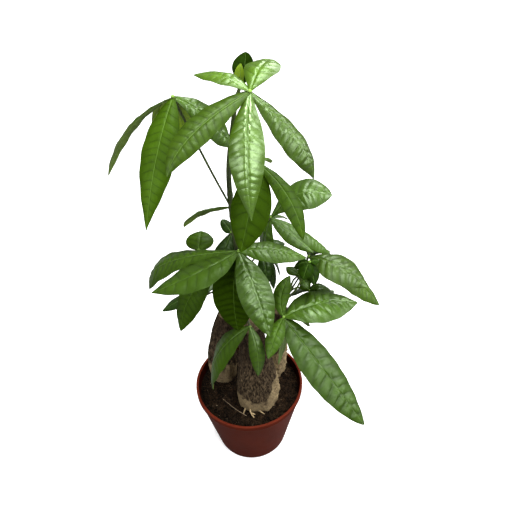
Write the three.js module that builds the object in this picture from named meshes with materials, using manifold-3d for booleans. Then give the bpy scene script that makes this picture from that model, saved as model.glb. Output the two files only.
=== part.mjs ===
// A potted money tree: three swollen trunks in a nursery pot, each with a leafy green shoot.
// Millimetres, +Z up. The origin is the middle of the pot's underside; +X is the plant's right and
// -Y its front.
import * as THREE from "three";
import { mergeVertices } from "three/addons/utils/BufferGeometryUtils.js";
import Module from "manifold-3d";

const wasm = await Module();
wasm.setup();

// Driving dimensions
const CLEARANCE = 0.3; // gap between pieces that touch on the real plant
const POT = {
  rimRadius: 60,
  lipWidth: 1.2,
  lipHeight: 6,
  lipRounding: 0.8,
  height: 100,
  wall: 1.4,
  baseRadius: 40.5,
  heelRadius: 5,
  heelSteps: 4,
  insideHeel: 3,
  floor: 2.4,
  sides: 32,
  drains: { count: 8, ring: 27, radius: 3.5, sides: 8 },
};
// The soil's surface rises by crown from its shoulder to the middle; edge is the bevel at the wall.
const SOIL = { top: 90, crown: 2, edge: 1.5, gap: 0.6, shoulder: 0.93, knoll: 0.5, sides: 32 };
// Ridge and knot depths are shares of the radius; their turns are radians from section to section.
const TRUNK = {
  sides: 18,
  ridges: 5,
  ridgeDepth: 0.035,
  ridgeTurn: 0.35,
  knots: 8,
  knotDepth: 0.018,
  knotTurn: 2.1,
};
const SHOOT = { sides: 7, steps: 11 };
// A petiole swells to baseRadius over the first share of its length given by flare.
const PETIOLE = { radius: 1.1, baseRadius: 1.9, flare: 1 / 6, sides: 6, steps: 6, hubRadius: 2.3 };
// stem and tip are the blade's half widths where it leaves the hub and where it ends.
const BLADE = { thickness: 0.8, ribDepth: 0.9, stations: 6, stem: 1.1, tip: 0.5, cupPower: 1.5 };

// A leaflet takes these values where its own row states none. arch is how far the rib rises above
// the straight line from hub to tip, lean is where along the line it peaks, sway is the same to the
// side, roll and twist turn the blade about its rib, cup is how far the margins hang below the rib
// as a share of the half width, and peak and taper give the outline's widest place and fullness.
const LEAFLET = {
  arch: 7,
  lean: 0.45,
  sway: 0,
  roll: 0,
  twist: 0,
  cup: 0.2,
  peak: 0.55,
  taper: 2,
  columns: 4,
};

const COLOURS = {
  pot: 0x5a3022,
  soil: 0x21170e,
  bark: 0x4a3d2b,
  shoot: 0x3c4a1c,
  dark: 0x2c4a0e,
  mid: 0x3f6420,
  fresh: 0x4f7a2c,
  pale: 0x7ba05c,
};

// Each trunk by its cross-sections from the buried foot to the cut top: [x, y, z, radius].
const TRUNKS = {
  trunk_front: [
    [9, -13, 68, 16],
    [9, -13, 80, 20],
    [9, -13, 92, 22.4],
    [9, -13, 108, 22.8],
    [9, -13, 124, 21.4],
    [9, -13, 140, 19.4],
    [8, -12, 158, 17],
    [7, -12, 176, 15],
    [6, -12, 194, 13.4],
    [5, -12, 212, 12.4],
  ],
  trunk_left: [
    [-28, 19, 68, 10],
    [-28, 19, 80, 12.6],
    [-29, 19, 92, 14.4],
    [-30, 19, 108, 15.8],
    [-30, 18, 124, 15.8],
    [-29, 18, 140, 14.6],
    [-27, 17, 156, 13.2],
    [-25, 17, 172, 12],
    [-22, 16, 186, 11],
    [-19, 16, 198, 10],
  ],
  trunk_right: [
    [28, 25, 68, 9.6],
    [28, 25, 80, 12],
    [28, 25, 92, 13.4],
    [29, 25, 108, 13.6],
    [30, 24, 124, 12.8],
    [32, 23, 142, 11.6],
    [33, 22, 160, 10.6],
    [35, 20, 180, 9.8],
    [36, 19, 198, 9],
  ],
};

// Each green shoot by the points of its centre line, from inside the trunk's top to its own tip.
const SHOOTS = {
  shoot_tall: {
    trunk: "trunk_front",
    radii: [3.4, 1.6],
    path: [
      [0, -10, 206],
      [-2, -8, 224],
      [-2, -8, 254],
      [-2, -8, 286],
      [-3, -7, 320],
      [-5, -2, 350],
      [-5, 1, 388],
      [1, 2, 430],
      [5, 2, 452],
    ],
  },
  shoot_left: {
    trunk: "trunk_left",
    radii: [2.8, 2],
    path: [
      [-18, 15, 191],
      [-16, 12, 208],
      [-16, 7, 224],
      [-17, 3, 238],
    ],
  },
  shoot_right: {
    trunk: "trunk_right",
    radii: [2.8, 1.8],
    path: [
      [37, 18, 191],
      [38, 16, 206],
      [41, 11, 224],
      [45, 6, 240],
    ],
  },
};

// Each compound leaf: its petiole from the shoot's centre line to the hub, and its leaflets.
const LEAVES = [
  {
    name: "leaf_crown_front",
    shoot: "shoot_tall",
    colour: "fresh",
    petiole: [[-5, 0, 364], [-2, -15, 402], [15, -30, 471.5]],
    leaflets: [
      { tip: [13, -80, 400.5], width: 23.2, arch: 10, sway: 2.3, peak: 0.5, taper: 2.5, cup: 0.35 },
      { tip: [-41.5, -73, 435], width: 19, arch: 8, sway: 2, peak: 0.46, lean: 0.72, roll: -22 },
      { tip: [57.5, -56, 416.5], width: 20, arch: 9, peak: 0.48, taper: 2.2, lean: 0.75, roll: 8, cup: 0.5 },
      { tip: [-24, -6, 473], width: 15, arch: 5.5, lean: 0.4, columns: 2 },
      { tip: [31.5, 7, 476], width: 23.5, arch: 7, sway: 0.3, peak: 0.58 },
    ],
  },
  {
    name: "leaf_crown_bud",
    shoot: "shoot_tall",
    colour: "dark",
    petiole: [[5, 2, 451], [6.5, 2, 455], [8, 2, 460]],
    leaflets: [
      { tip: [12.5, 14, 479], width: 15, arch: 1, sway: 1.5, cup: -0.5 },
      { tip: [9, 5, 474.5], width: 6, arch: 1, cup: -0.5, columns: 2 },
    ],
  },
  {
    name: "leaf_crown_left",
    shoot: "shoot_tall",
    colour: "mid",
    petiole: [[-5, -1, 350], [-18, -8, 392], [-38, -22, 465]],
    leaflets: [
      { tip: [-92, -32, 409], width: 14, arch: 9, sway: 3, roll: 38, columns: 2 },
      { tip: [-61, -79, 394.5], width: 25, arch: 8, sway: -0.8, peak: 0.45, taper: 2.2 },
      { tip: [-54, 10, 412], width: 20, arch: 8, columns: 2 },
      { tip: [-38, 8, 419], width: 26, arch: 6, columns: 2 },
      { tip: [-1, -9, 416], width: 22, arch: 5, peak: 0.64, roll: 40, columns: 2 },
    ],
  },
  {
    name: "leaf_crown_right",
    shoot: "shoot_tall",
    colour: "mid",
    petiole: [[-5, -3, 343], [6, -10, 372], [18, -14, 404]],
    leaflets: [
      { tip: [51, -60, 363.5], width: 15, arch: 11, sway: -1.5, lean: 0.55 },
      { tip: [3, -62, 355], width: 30, arch: 8, sway: -3 },
      { tip: [29, 20, 380], width: 10, arch: 4, columns: 2 },
      { tip: [10, 34, 399], width: 16, arch: 5, columns: 2 },
    ],
  },
  {
    name: "leaf_arching",
    shoot: "shoot_tall",
    colour: "mid",
    petiole: [[-4, -5, 330], [-3, 6, 336], [0, 12, 341]],
    leaflets: [
      { tip: [-48, 4, 327], width: 15, arch: 9, lean: 0.7, roll: 50, columns: 2 },
      { tip: [20, 34, 290], width: 16, arch: 6, columns: 2 },
    ],
  },
  {
    name: "leaf_small_stem",
    shoot: "shoot_tall",
    colour: "dark",
    petiole: [[-3, -8, 305], [-6, -2, 313], [-7, 2, 320]],
    leaflets: [
      { tip: [-15, 14, 326], width: 9.5, arch: 1, peak: 0.5, taper: 1.1, columns: 2 },
      { tip: [-22, -24, 280], width: 20, arch: 5, columns: 2 },
    ],
  },
  {
    name: "leaf_middle_left",
    shoot: "shoot_tall",
    colour: "mid",
    petiole: [[-2, -8, 285], [-3, -20, 314], [0, -34, 331]],
    leaflets: [
      { tip: [-72, -60, 312], width: 31, arch: 3, sway: -5, peak: 0.5, taper: 2.2 },
      { tip: [-80, -26, 287], width: 33, arch: 16, peak: 0.68, lean: 0.85 },
      { tip: [23, -90, 288], width: 27, arch: 8 },
      { tip: [58, -24, 311], width: 25.5, arch: 5, peak: 0.48 },
      { tip: [-4, -58, 257.5], width: 37, arch: 6, sway: 3 },
    ],
  },
  {
    name: "leaf_middle_right",
    shoot: "shoot_tall",
    colour: "pale",
    petiole: [[-2, -8, 290], [11, 6, 315], [28, 14, 326]],
    leaflets: [
      { tip: [66, -2, 297], width: 12, arch: 1, cup: 0.9 },
      { tip: [86, 22, 271], width: 21, arch: 5, cup: 0.5, columns: 2 },
      { tip: [82, 16, 347], width: 32, arch: 14, peak: 0.62, lean: 0.6, roll: 15 },
      { tip: [22, 10, 280], width: 20, arch: 4, columns: 2 },
      { tip: [44, 40, 302], width: 10, arch: 3, columns: 2 },
    ],
  },
  {
    name: "leaf_middle_back",
    shoot: "shoot_tall",
    colour: "dark",
    petiole: [[-2, -8, 262], [7, 8, 274], [21, 22, 280]],
    leaflets: [
      { tip: [30, 10, 238], width: 9, arch: 5, columns: 2 },
      { tip: [23, 6, 249], width: 14, arch: 4, columns: 2 },
      { tip: [37, 22, 239], width: 8, arch: 5, columns: 2 },
      { tip: [42, 48, 264], width: 14, arch: 6, columns: 2 },
    ],
  },
  {
    name: "leaf_low_front",
    shoot: "shoot_tall",
    colour: "mid",
    petiole: [[-2, -8, 240], [1, -28, 254], [6, -44, 247]],
    leaflets: [
      { tip: [-32, -66, 182.5], width: 33, arch: 10, sway: 8, lean: 0.6 },
      { tip: [12, -68, 204], width: 13, arch: 5, sway: -2, columns: 2 },
    ],
  },
  {
    name: "leaf_small_round",
    shoot: "shoot_tall",
    colour: "mid",
    petiole: [[-2, -8, 268], [-22, 8, 286], [-37, -4, 306]],
    leaflets: [{ tip: [-35.4, 18, 310], width: 24, arch: 2, peak: 0.5, taper: 1.1 }],
  },
  {
    name: "leaf_low_left",
    shoot: "shoot_left",
    colour: "mid",
    petiole: [[-17, 3, 236], [-20, -2, 262], [-23, -4, 280]],
    leaflets: [
      { tip: [-60, -32, 229], width: 31, arch: 7, sway: 6 },
      { tip: [-10, 46, 250], width: 20, arch: 4, columns: 2 },
      { tip: [-56, 44, 224], width: 20, arch: 10, columns: 2 },
    ],
  },
  {
    name: "leaf_low_back",
    shoot: "shoot_left",
    colour: "dark",
    petiole: [[-16, 9, 218], [-26, 20, 226], [-40, 24, 219]],
    leaflets: [
      { tip: [-85, 14, 207], width: 16, arch: 6, columns: 2 },
      { tip: [-68, 66, 190], width: 22, arch: 10, columns: 2 },
      { tip: [-26, 78, 190], width: 22, arch: 10, columns: 2 },
    ],
  },
  {
    name: "leaf_outer_right",
    shoot: "shoot_right",
    colour: "fresh",
    petiole: [[40, 13, 218], [57, 20, 248], [63, 12, 279]],
    leaflets: [
      { tip: [114, -22, 270], width: 34, arch: 9, sway: 1.5 },
      { tip: [136, 6, 214], width: 29, arch: 8, roll: 10 },
      { tip: [84, 60, 238], width: 22, arch: 8, columns: 2 },
    ],
  },
  {
    name: "leaf_young_top",
    shoot: "shoot_right",
    colour: "dark",
    petiole: [[41, 11, 224], [50, -7, 254], [62, -7, 290]],
    leaflets: [
      { tip: [48, -6, 283], width: 12, arch: 2, columns: 2 },
      { tip: [55, -22, 282], width: 13, arch: 2, columns: 2 },
      { tip: [66, -22, 275], width: 12, arch: 2, columns: 2 },
      { tip: [71, -6, 290], width: 8, arch: 1, columns: 2 },
    ],
  },
  {
    name: "leaf_young_low",
    shoot: "shoot_right",
    colour: "pale",
    petiole: [[45, 6, 240], [49, 9, 251], [54, 4, 262]],
    leaflets: [
      { tip: [42, 14, 264], width: 10, arch: 1, columns: 2 },
      { tip: [62, -6, 254], width: 8, arch: 2, columns: 2 },
    ],
  },
  {
    name: "leaf_young_side",
    shoot: "shoot_right",
    colour: "pale",
    petiole: [[43, 9, 232], [52, 9, 240], [64, 4, 241]],
    leaflets: [
      { tip: [56, 1, 258], width: 12, arch: 1, roll: -75, columns: 2 },
      { tip: [73, 6, 247], width: 6, arch: 1, columns: 2 },
      { tip: [86, 8, 236], width: 13, arch: 4, columns: 2 },
      { tip: [44, 27, 204], width: 18, arch: 5, columns: 2 },
    ],
  },
  {
    name: "leaf_low_right",
    shoot: "shoot_right",
    colour: "pale",
    petiole: [[38, 15, 210], [40, -10, 238], [37, -36, 249]],
    leaflets: [
      { tip: [109, -14, 241], width: 39.5, arch: 8, sway: -1, peak: 0.5 },
      { tip: [107, -108, 179], width: 34, arch: 6, sway: 2.8, peak: 0.5, taper: 1.6 },
      { tip: [45, -4, 270], width: 14, arch: 3, sway: -5, columns: 2 },
      { tip: [64, 0, 192], width: 18, arch: 6, columns: 2 },
      { tip: [21.5, -70, 232], width: 15, arch: 5, columns: 2 },
      { tip: [91, 20, 223], width: 22, arch: 5, columns: 2 },
      { tip: [32, -30, 170], width: 9, arch: 1, sway: 4, columns: 2 },
    ],
  },
];

const UP = new THREE.Vector3(0, 0, 1);
const point = ([x, y, z]) => new THREE.Vector3(x, y, z);
const degrees = THREE.MathUtils.degToRad;

// Turns a closed three.js geometry into a solid that can be cut and joined.
function solidOf(geometry) {
  geometry.deleteAttribute("normal");
  geometry.deleteAttribute("uv");
  const merged = mergeVertices(geometry, 1e-4);
  return new wasm.Manifold(
    new wasm.Mesh({
      numProp: 3,
      vertProperties: merged.getAttribute("position").array,
      triVerts: Uint32Array.from(merged.index.array),
    }),
  );
}

function geometryOf(vertices, triangles) {
  const positions = vertices.flatMap((v) => [v.x, v.y, v.z]);
  return new THREE.BufferGeometry()
    .setAttribute("position", new THREE.Float32BufferAttribute(positions, 3))
    .setIndex(triangles);
}

// A closed skin over rings that each run anticlockwise about the way from first ring to last.
function loft(rings) {
  const sides = rings[0].length;
  const vertices = rings.flat();
  const middle = (ring) =>
    ring.reduce((sum, v) => sum.add(v), new THREE.Vector3()).divideScalar(sides);
  const start = vertices.push(middle(rings[0])) - 1;
  const end = vertices.push(middle(rings.at(-1))) - 1;
  const last = (rings.length - 1) * sides;
  const triangles = [];
  for (let j = 0; j < sides; j++) {
    const next = (j + 1) % sides;
    for (let row = 0; row < last; row += sides) {
      const [a, b, c, d] = [row + j, row + next, row + sides + next, row + sides + j];
      triangles.push(a, b, c, a, c, d);
    }
    triangles.push(start, next, j, end, last + j, last + next);
  }
  return geometryOf(vertices, triangles);
}

// A round bar along a smooth curve, with its radius given as a function of the share travelled.
function tube(path, radiusAt, sides, steps) {
  const curve = new THREE.CatmullRomCurve3(path.map(point));
  const { normals, binormals } = curve.computeFrenetFrames(steps, false);
  const rings = normals.map((normal, i) => {
    const centre = curve.getPointAt(i / steps);
    return Array.from({ length: sides }, (_, j) => {
      const angle = (2 * Math.PI * j) / sides;
      return centre
        .clone()
        .addScaledVector(normal, radiusAt(i / steps) * Math.cos(angle))
        .addScaledVector(binormals[i], radiusAt(i / steps) * Math.sin(angle));
    });
  });
  return loft(rings);
}

function lathe(profile, sides) {
  const turned = new THREE.LatheGeometry(
    profile.map(([r, z]) => new THREE.Vector2(r, z)),
    sides,
  );
  return turned.rotateX(Math.PI / 2);
}

// The pot: a tapered thin wall with a lip round the rim, a rounded heel and drain holes in the floor.
function potSolid() {
  const { rimRadius, lipWidth, lipHeight, lipRounding, height, wall, floor } = POT;
  const { baseRadius, heelRadius, heelSteps, insideHeel } = POT;
  const neck = rimRadius - lipWidth;
  const heel = Array.from({ length: heelSteps + 1 }, (_, i) => {
    const angle = ((i / heelSteps) * Math.PI) / 2;
    return [
      baseRadius - heelRadius * (1 - Math.sin(angle)),
      heelRadius * (1 - Math.cos(angle)),
    ];
  });
  const body = lathe(
    [
      [0, 0],
      ...heel,
      [neck, height - lipHeight],
      [rimRadius, height - lipHeight + lipRounding],
      [rimRadius, height - lipRounding],
      [rimRadius - lipRounding, height],
      [neck - wall + lipRounding, height],
      [neck - wall, height - lipRounding],
      [neck - wall, height - lipHeight],
      [baseRadius - wall, heelRadius],
      [baseRadius - wall - insideHeel, floor],
      [0, floor],
    ],
    POT.sides,
  );
  const { count, ring, radius, sides } = POT.drains;
  const hole = new THREE.CylinderGeometry(radius, radius, 4 * floor, sides).rotateX(Math.PI / 2);
  let solid = solidOf(body);
  for (let i = 0; i < count; i++) {
    const angle = (2 * Math.PI * i) / count;
    const drain = hole.clone().translate(ring * Math.cos(angle), ring * Math.sin(angle), 0);
    solid = solid.subtract(solidOf(drain));
  }
  return solid;
}

// The inside radius of the pot's wall at a height above the heel.
function potInside(z) {
  const { rimRadius, lipWidth, lipHeight, height, wall, baseRadius, heelRadius } = POT;
  const share = (z - heelRadius) / (height - lipHeight - heelRadius);
  return THREE.MathUtils.lerp(baseRadius - wall, rimRadius - lipWidth - wall, share);
}

// The soil fills the pot to just under the rim, with a plain hole for each trunk.
function soilSolid(trunkHoles) {
  const { floor, baseRadius, heelRadius, insideHeel, wall } = POT;
  const { top, crown, edge, gap, shoulder, knoll, sides } = SOIL;
  const bottom = floor + gap;
  const body = lathe(
    [
      [0, bottom],
      [baseRadius - wall - insideHeel - gap, bottom],
      [potInside(heelRadius) - gap, heelRadius + gap],
      [potInside(top - edge) - gap, top - edge],
      [shoulder * potInside(top), top],
      [knoll * potInside(top), top + (crown * (1 - knoll)) / shoulder],
      [0, top + crown],
    ],
    sides,
  );
  return trunkHoles.reduce((soil, hole) => soil.subtract(hole), solidOf(body));
}

// A trunk with shallow lengthwise ridges and knots; grown is added all round for a clearance cut.
function trunkSolid(sections, grown = 0) {
  const { sides, ridges, ridgeDepth, ridgeTurn, knots, knotDepth, knotTurn } = TRUNK;
  const lastRow = sections.length - 1;
  const rings = sections.map(([x, y, z, radius], row) =>
    Array.from({ length: sides }, (_, j) => {
      const angle = (2 * Math.PI * j) / sides;
      const ridge = ridgeDepth * Math.sin(ridges * angle + ridgeTurn * row);
      const knot = knotDepth * Math.sin(knots * angle + knotTurn * row);
      const reach = radius * (1 + ridge + knot) + grown;
      const end = row === lastRow ? grown : row === 0 ? -grown : 0;
      return new THREE.Vector3(x + reach * Math.cos(angle), y + reach * Math.sin(angle), z + end);
    }),
  );
  return solidOf(loft(rings));
}

function shootSolid({ path, radii }, grown = 0) {
  const radiusAt = (share) => THREE.MathUtils.lerp(radii[0], radii[1], share) + grown;
  return solidOf(tube(path, radiusAt, SHOOT.sides, SHOOT.steps));
}

function petioleSolid(path) {
  const { radius, baseRadius, flare, sides, steps } = PETIOLE;
  const radiusAt = (share) => radius + (baseRadius - radius) * Math.max(0, 1 - share / flare);
  return solidOf(tube(path, radiusAt, sides, steps));
}

// The outline's half width at a share of the rib's length, from 0 at the hub to 1 at the tip.
function halfWidth({ width, peak, taper }, share) {
  const rise = (share / peak) ** (taper * peak);
  const fall = ((1 - share) / (1 - peak)) ** (taper * (1 - peak));
  return (width / 2) * rise * fall + THREE.MathUtils.lerp(BLADE.stem, BLADE.tip, share);
}

// One leaflet: a thin blade on a curved rib, cupped across, with the rib raised below.
function leafletSolid(hub, spec) {
  const leaflet = { ...LEAFLET, ...spec };
  const { arch, lean, sway, roll, twist, cup, columns } = leaflet;
  const tip = point(leaflet.tip);
  const chord = tip.clone().sub(hub);
  const along = chord.clone().normalize();
  const normal = UP.clone().addScaledVector(along, -UP.dot(along)).normalize();
  const side = along.clone().cross(normal);
  const control = hub
    .clone()
    .addScaledVector(chord, lean)
    .addScaledVector(normal, 2 * arch)
    .addScaledVector(side, 2 * sway);
  const rib = new THREE.QuadraticBezierCurve3(hub, control, tip);

  const top = [];
  const under = [];
  const { stations, thickness, ribDepth, cupPower } = BLADE;
  for (let i = 0; i <= stations; i++) {
    const share = i / stations;
    const centre = rib.getPoint(share);
    const ahead = rib.getTangent(share);
    const turned = normal.clone().applyAxisAngle(along, degrees(roll + twist * share));
    const across = ahead.clone().cross(turned).normalize();
    const facing = across.clone().cross(ahead);
    const half = halfWidth(leaflet, share);
    for (let j = 0; j <= columns; j++) {
      const place = (2 * j) / columns - 1;
      const drop = cup * half * Math.abs(place) ** cupPower;
      const upper = centre
        .clone()
        .addScaledVector(across, half * place)
        .addScaledVector(facing, -drop);
      const depth = thickness + (place === 0 ? ribDepth * (1 - share) : 0);
      top.push(upper);
      under.push(upper.clone().addScaledVector(facing, -depth));
    }
  }

  const row = columns + 1;
  const below = top.length;
  const triangles = [];
  for (let i = 0; i < stations; i++) {
    for (let j = 0; j < columns; j++) {
      const a = i * row + j;
      const [b, c, d] = [a + 1, a + row + 1, a + row];
      triangles.push(a, b, c, a, c, d);
      triangles.push(below + a, below + c, below + b, below + a, below + d, below + c);
    }
    const left = i * row;
    const right = left + columns;
    triangles.push(left, left + row, below + left + row, left, below + left + row, below + left);
    triangles.push(right, below + right + row, right + row);
    triangles.push(right, below + right, below + right + row);
  }
  const tail = stations * row;
  for (let j = 0; j < columns; j++) {
    triangles.push(j, below + j + 1, j + 1, j, below + j, below + j + 1);
    const [a, b] = [tail + j, tail + j + 1];
    triangles.push(a, b, below + b, a, below + b, below + a);
  }
  return solidOf(geometryOf([...top, ...under], triangles));
}

// A compound leaf: the petiole, the knob at its end and the leaflets that spread from it.
function leafSolid({ petiole, leaflets }) {
  const hub = point(petiole.at(-1));
  const knob = new THREE.IcosahedronGeometry(PETIOLE.hubRadius, 0).translate(hub.x, hub.y, hub.z);
  return leaflets
    .map((spec) => leafletSolid(hub, spec))
    .reduce((leaf, blade) => leaf.add(blade), petioleSolid(petiole).add(solidOf(knob)));
}

// The main body of a solid, without the crumbs that a clearance cut leaves beside it.
function wholeOf(solid) {
  return solid.decompose().reduce((whole, body) => (body.volume() > whole.volume() ? body : whole));
}

// Adds a solid to the plant as a named mesh with its own material.
const plant = new THREE.Group();
function place(name, solid, colour, roughness) {
  const { numProp, vertProperties, triVerts } = solid.getMesh();
  const positions = new THREE.BufferAttribute(Float32Array.from(vertProperties), numProp);
  const geometry = new THREE.BufferGeometry()
    .setAttribute("position", positions)
    .setIndex([...triVerts]);
  geometry.computeVertexNormals();
  const material = new THREE.MeshStandardMaterial({ color: colour, roughness, metalness: 0 });
  const mesh = new THREE.Mesh(geometry, material);
  mesh.name = name;
  plant.add(mesh);
}

const trunkHoles = Object.values(TRUNKS).map((sections) => trunkSolid(sections, CLEARANCE));
place("pot", potSolid(), COLOURS.pot, 0.45);
place("soil", soilSolid(trunkHoles), COLOURS.soil, 1);
for (const [name, sections] of Object.entries(TRUNKS)) {
  place(name, trunkSolid(sections), COLOURS.bark, 0.9);
}
for (const [name, shoot] of Object.entries(SHOOTS)) {
  const seat = trunkSolid(TRUNKS[shoot.trunk], CLEARANCE);
  place(name, shootSolid(shoot).subtract(seat), COLOURS.shoot, 0.6);
}
for (const leaf of LEAVES) {
  const seat = shootSolid(SHOOTS[leaf.shoot], CLEARANCE);
  place(leaf.name, wholeOf(leafSolid(leaf).subtract(seat)), COLOURS[leaf.colour], 0.3);
}

export default plant;
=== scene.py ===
"""A young money tree in a nursery pot: three swollen trunks, each with a leafy green shoot."""

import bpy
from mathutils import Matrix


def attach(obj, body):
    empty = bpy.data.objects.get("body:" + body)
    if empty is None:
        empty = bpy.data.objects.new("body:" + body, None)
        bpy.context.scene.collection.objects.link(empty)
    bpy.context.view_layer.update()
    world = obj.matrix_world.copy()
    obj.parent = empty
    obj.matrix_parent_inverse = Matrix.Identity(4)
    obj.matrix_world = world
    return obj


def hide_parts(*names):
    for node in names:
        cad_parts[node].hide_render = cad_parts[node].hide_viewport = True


bl_info = {
    "name": "Potted Money Tree",
    "version": (1, 0, 0),
    "blender": (4, 5, 0),
    "location": "3D View > Sidebar > Money Tree",
    "description": "Builds the pot, soil, trunks, shoots and leaves of a young money tree",
    "category": "Object",
}

import math
from dataclasses import dataclass
from types import SimpleNamespace

import bmesh
import bpy
import numpy as np
from mathutils import Matrix, Vector, noise

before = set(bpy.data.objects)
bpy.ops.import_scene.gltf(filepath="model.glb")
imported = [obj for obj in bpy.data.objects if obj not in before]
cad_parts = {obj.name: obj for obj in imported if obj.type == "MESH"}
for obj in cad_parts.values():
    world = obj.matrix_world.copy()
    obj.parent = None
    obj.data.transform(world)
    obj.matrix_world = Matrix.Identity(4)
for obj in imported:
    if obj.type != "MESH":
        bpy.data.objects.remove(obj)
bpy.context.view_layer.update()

# Tables and shapes are in millimetres, and meshes are in metres.
MM = 0.001
UP = np.array([0.0, 0.0, 1.0])


@dataclass
class Leaflet:
    """One leaflet: its tip's place, its width and how its blade is bent, quilted and coloured."""

    tip: tuple
    width: float
    # How far the rib's bend rises above a straight line and stands aside, and where along it lies.
    arch: float = 7
    sway: float = 0
    lean: float = 0.45
    # Turns of the blade about its rib in degrees: of the whole, and more towards the tip.
    roll: float = 0
    twist: float = 0
    # How far the margins hang, where the blade is widest and how slender its ends are.
    cup: float = 0.2
    peak: float = 0.55
    taper: float = 2
    # Height of the swellings between side veins, and the distance from vein to vein.
    quilt: float = 0.65
    spacing: float = 6
    # Colour from deep at 0 to bright at 1, which is partly the leaflet's own tone, partly painted shade
    # for a leaflet in shadow and partly painted light for one that should catch a lamp; and shine from
    # dull at 0.
    tint: float = 0.5
    gloss: float = 0.8
    # Lit through: a yellow-green underside, and such an upper face too where the tip points up.
    backlit: bool = False


@dataclass
class Leaf:
    """A compound leaf: its kind of green, its stalk's path and the leaflets at the stalk's end."""

    colour: str
    petiole: list
    leaflets: list


# Each trunk by its cross-sections from the buried foot to the cut top: (x, y, z, radius).
TRUNKS = {
    "trunk_front": [
        (9, -13, 68, 16), (9, -13, 80, 20), (9, -13, 92, 22.4), (9, -13, 108, 22.8),
        (9, -13, 124, 21.4), (9, -13, 140, 19.4), (8, -12, 158, 17), (7, -12, 176, 15),
        (6, -12, 194, 13.4), (5, -12, 212, 12.4),
    ],
    "trunk_left": [
        (-28, 19, 68, 10), (-28, 19, 80, 12.6), (-29, 19, 92, 14.4), (-30, 19, 108, 15.8),
        (-30, 18, 124, 15.8), (-29, 18, 140, 14.6), (-27, 17, 156, 13.2), (-25, 17, 172, 12),
        (-22, 16, 186, 11), (-19, 16, 198, 10),
    ],
    "trunk_right": [
        (28, 25, 68, 9.6), (28, 25, 80, 12), (28, 25, 92, 13.4), (29, 25, 108, 13.6),
        (30, 24, 124, 12.8), (32, 23, 142, 11.6), (33, 22, 160, 10.6), (35, 20, 180, 9.8),
        (36, 19, 198, 9),
    ],
}
# Where the dark knot sits on the front trunk, seen from above.
KNOT_PLACE = (-3.3, -33)
# A trunk's ridges and bumps turn by these angles from one of its sections to the next.
RIDGE_TURN = 0.35
KNOT_TURN = 2.1
# The pale root stubs at the front trunk's foot.
ROOTS = [
    [(0.6, -33, 95.5), (1.2, -37.5, 94), (4.6, -42.6, 92.4)],
    [(1.4, -37.6, 93.8), (3.4, -38.6, 94.2), (5.8, -39.6, 93.6)],
    [(9, -34, 95), (12.5, -37, 94.2), (16, -38.8, 92.8)],
    [(-5, -32.5, 95), (-6, -35, 94), (-7, -38, 92.6)],
]
# The dry stalk that lies on the soil in front of the left trunk.
STRAW = [(-30.1, -18.3, 94), (-14.8, -32.9, 94.2), (-3.6, -40.6, 93.2)]
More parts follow.
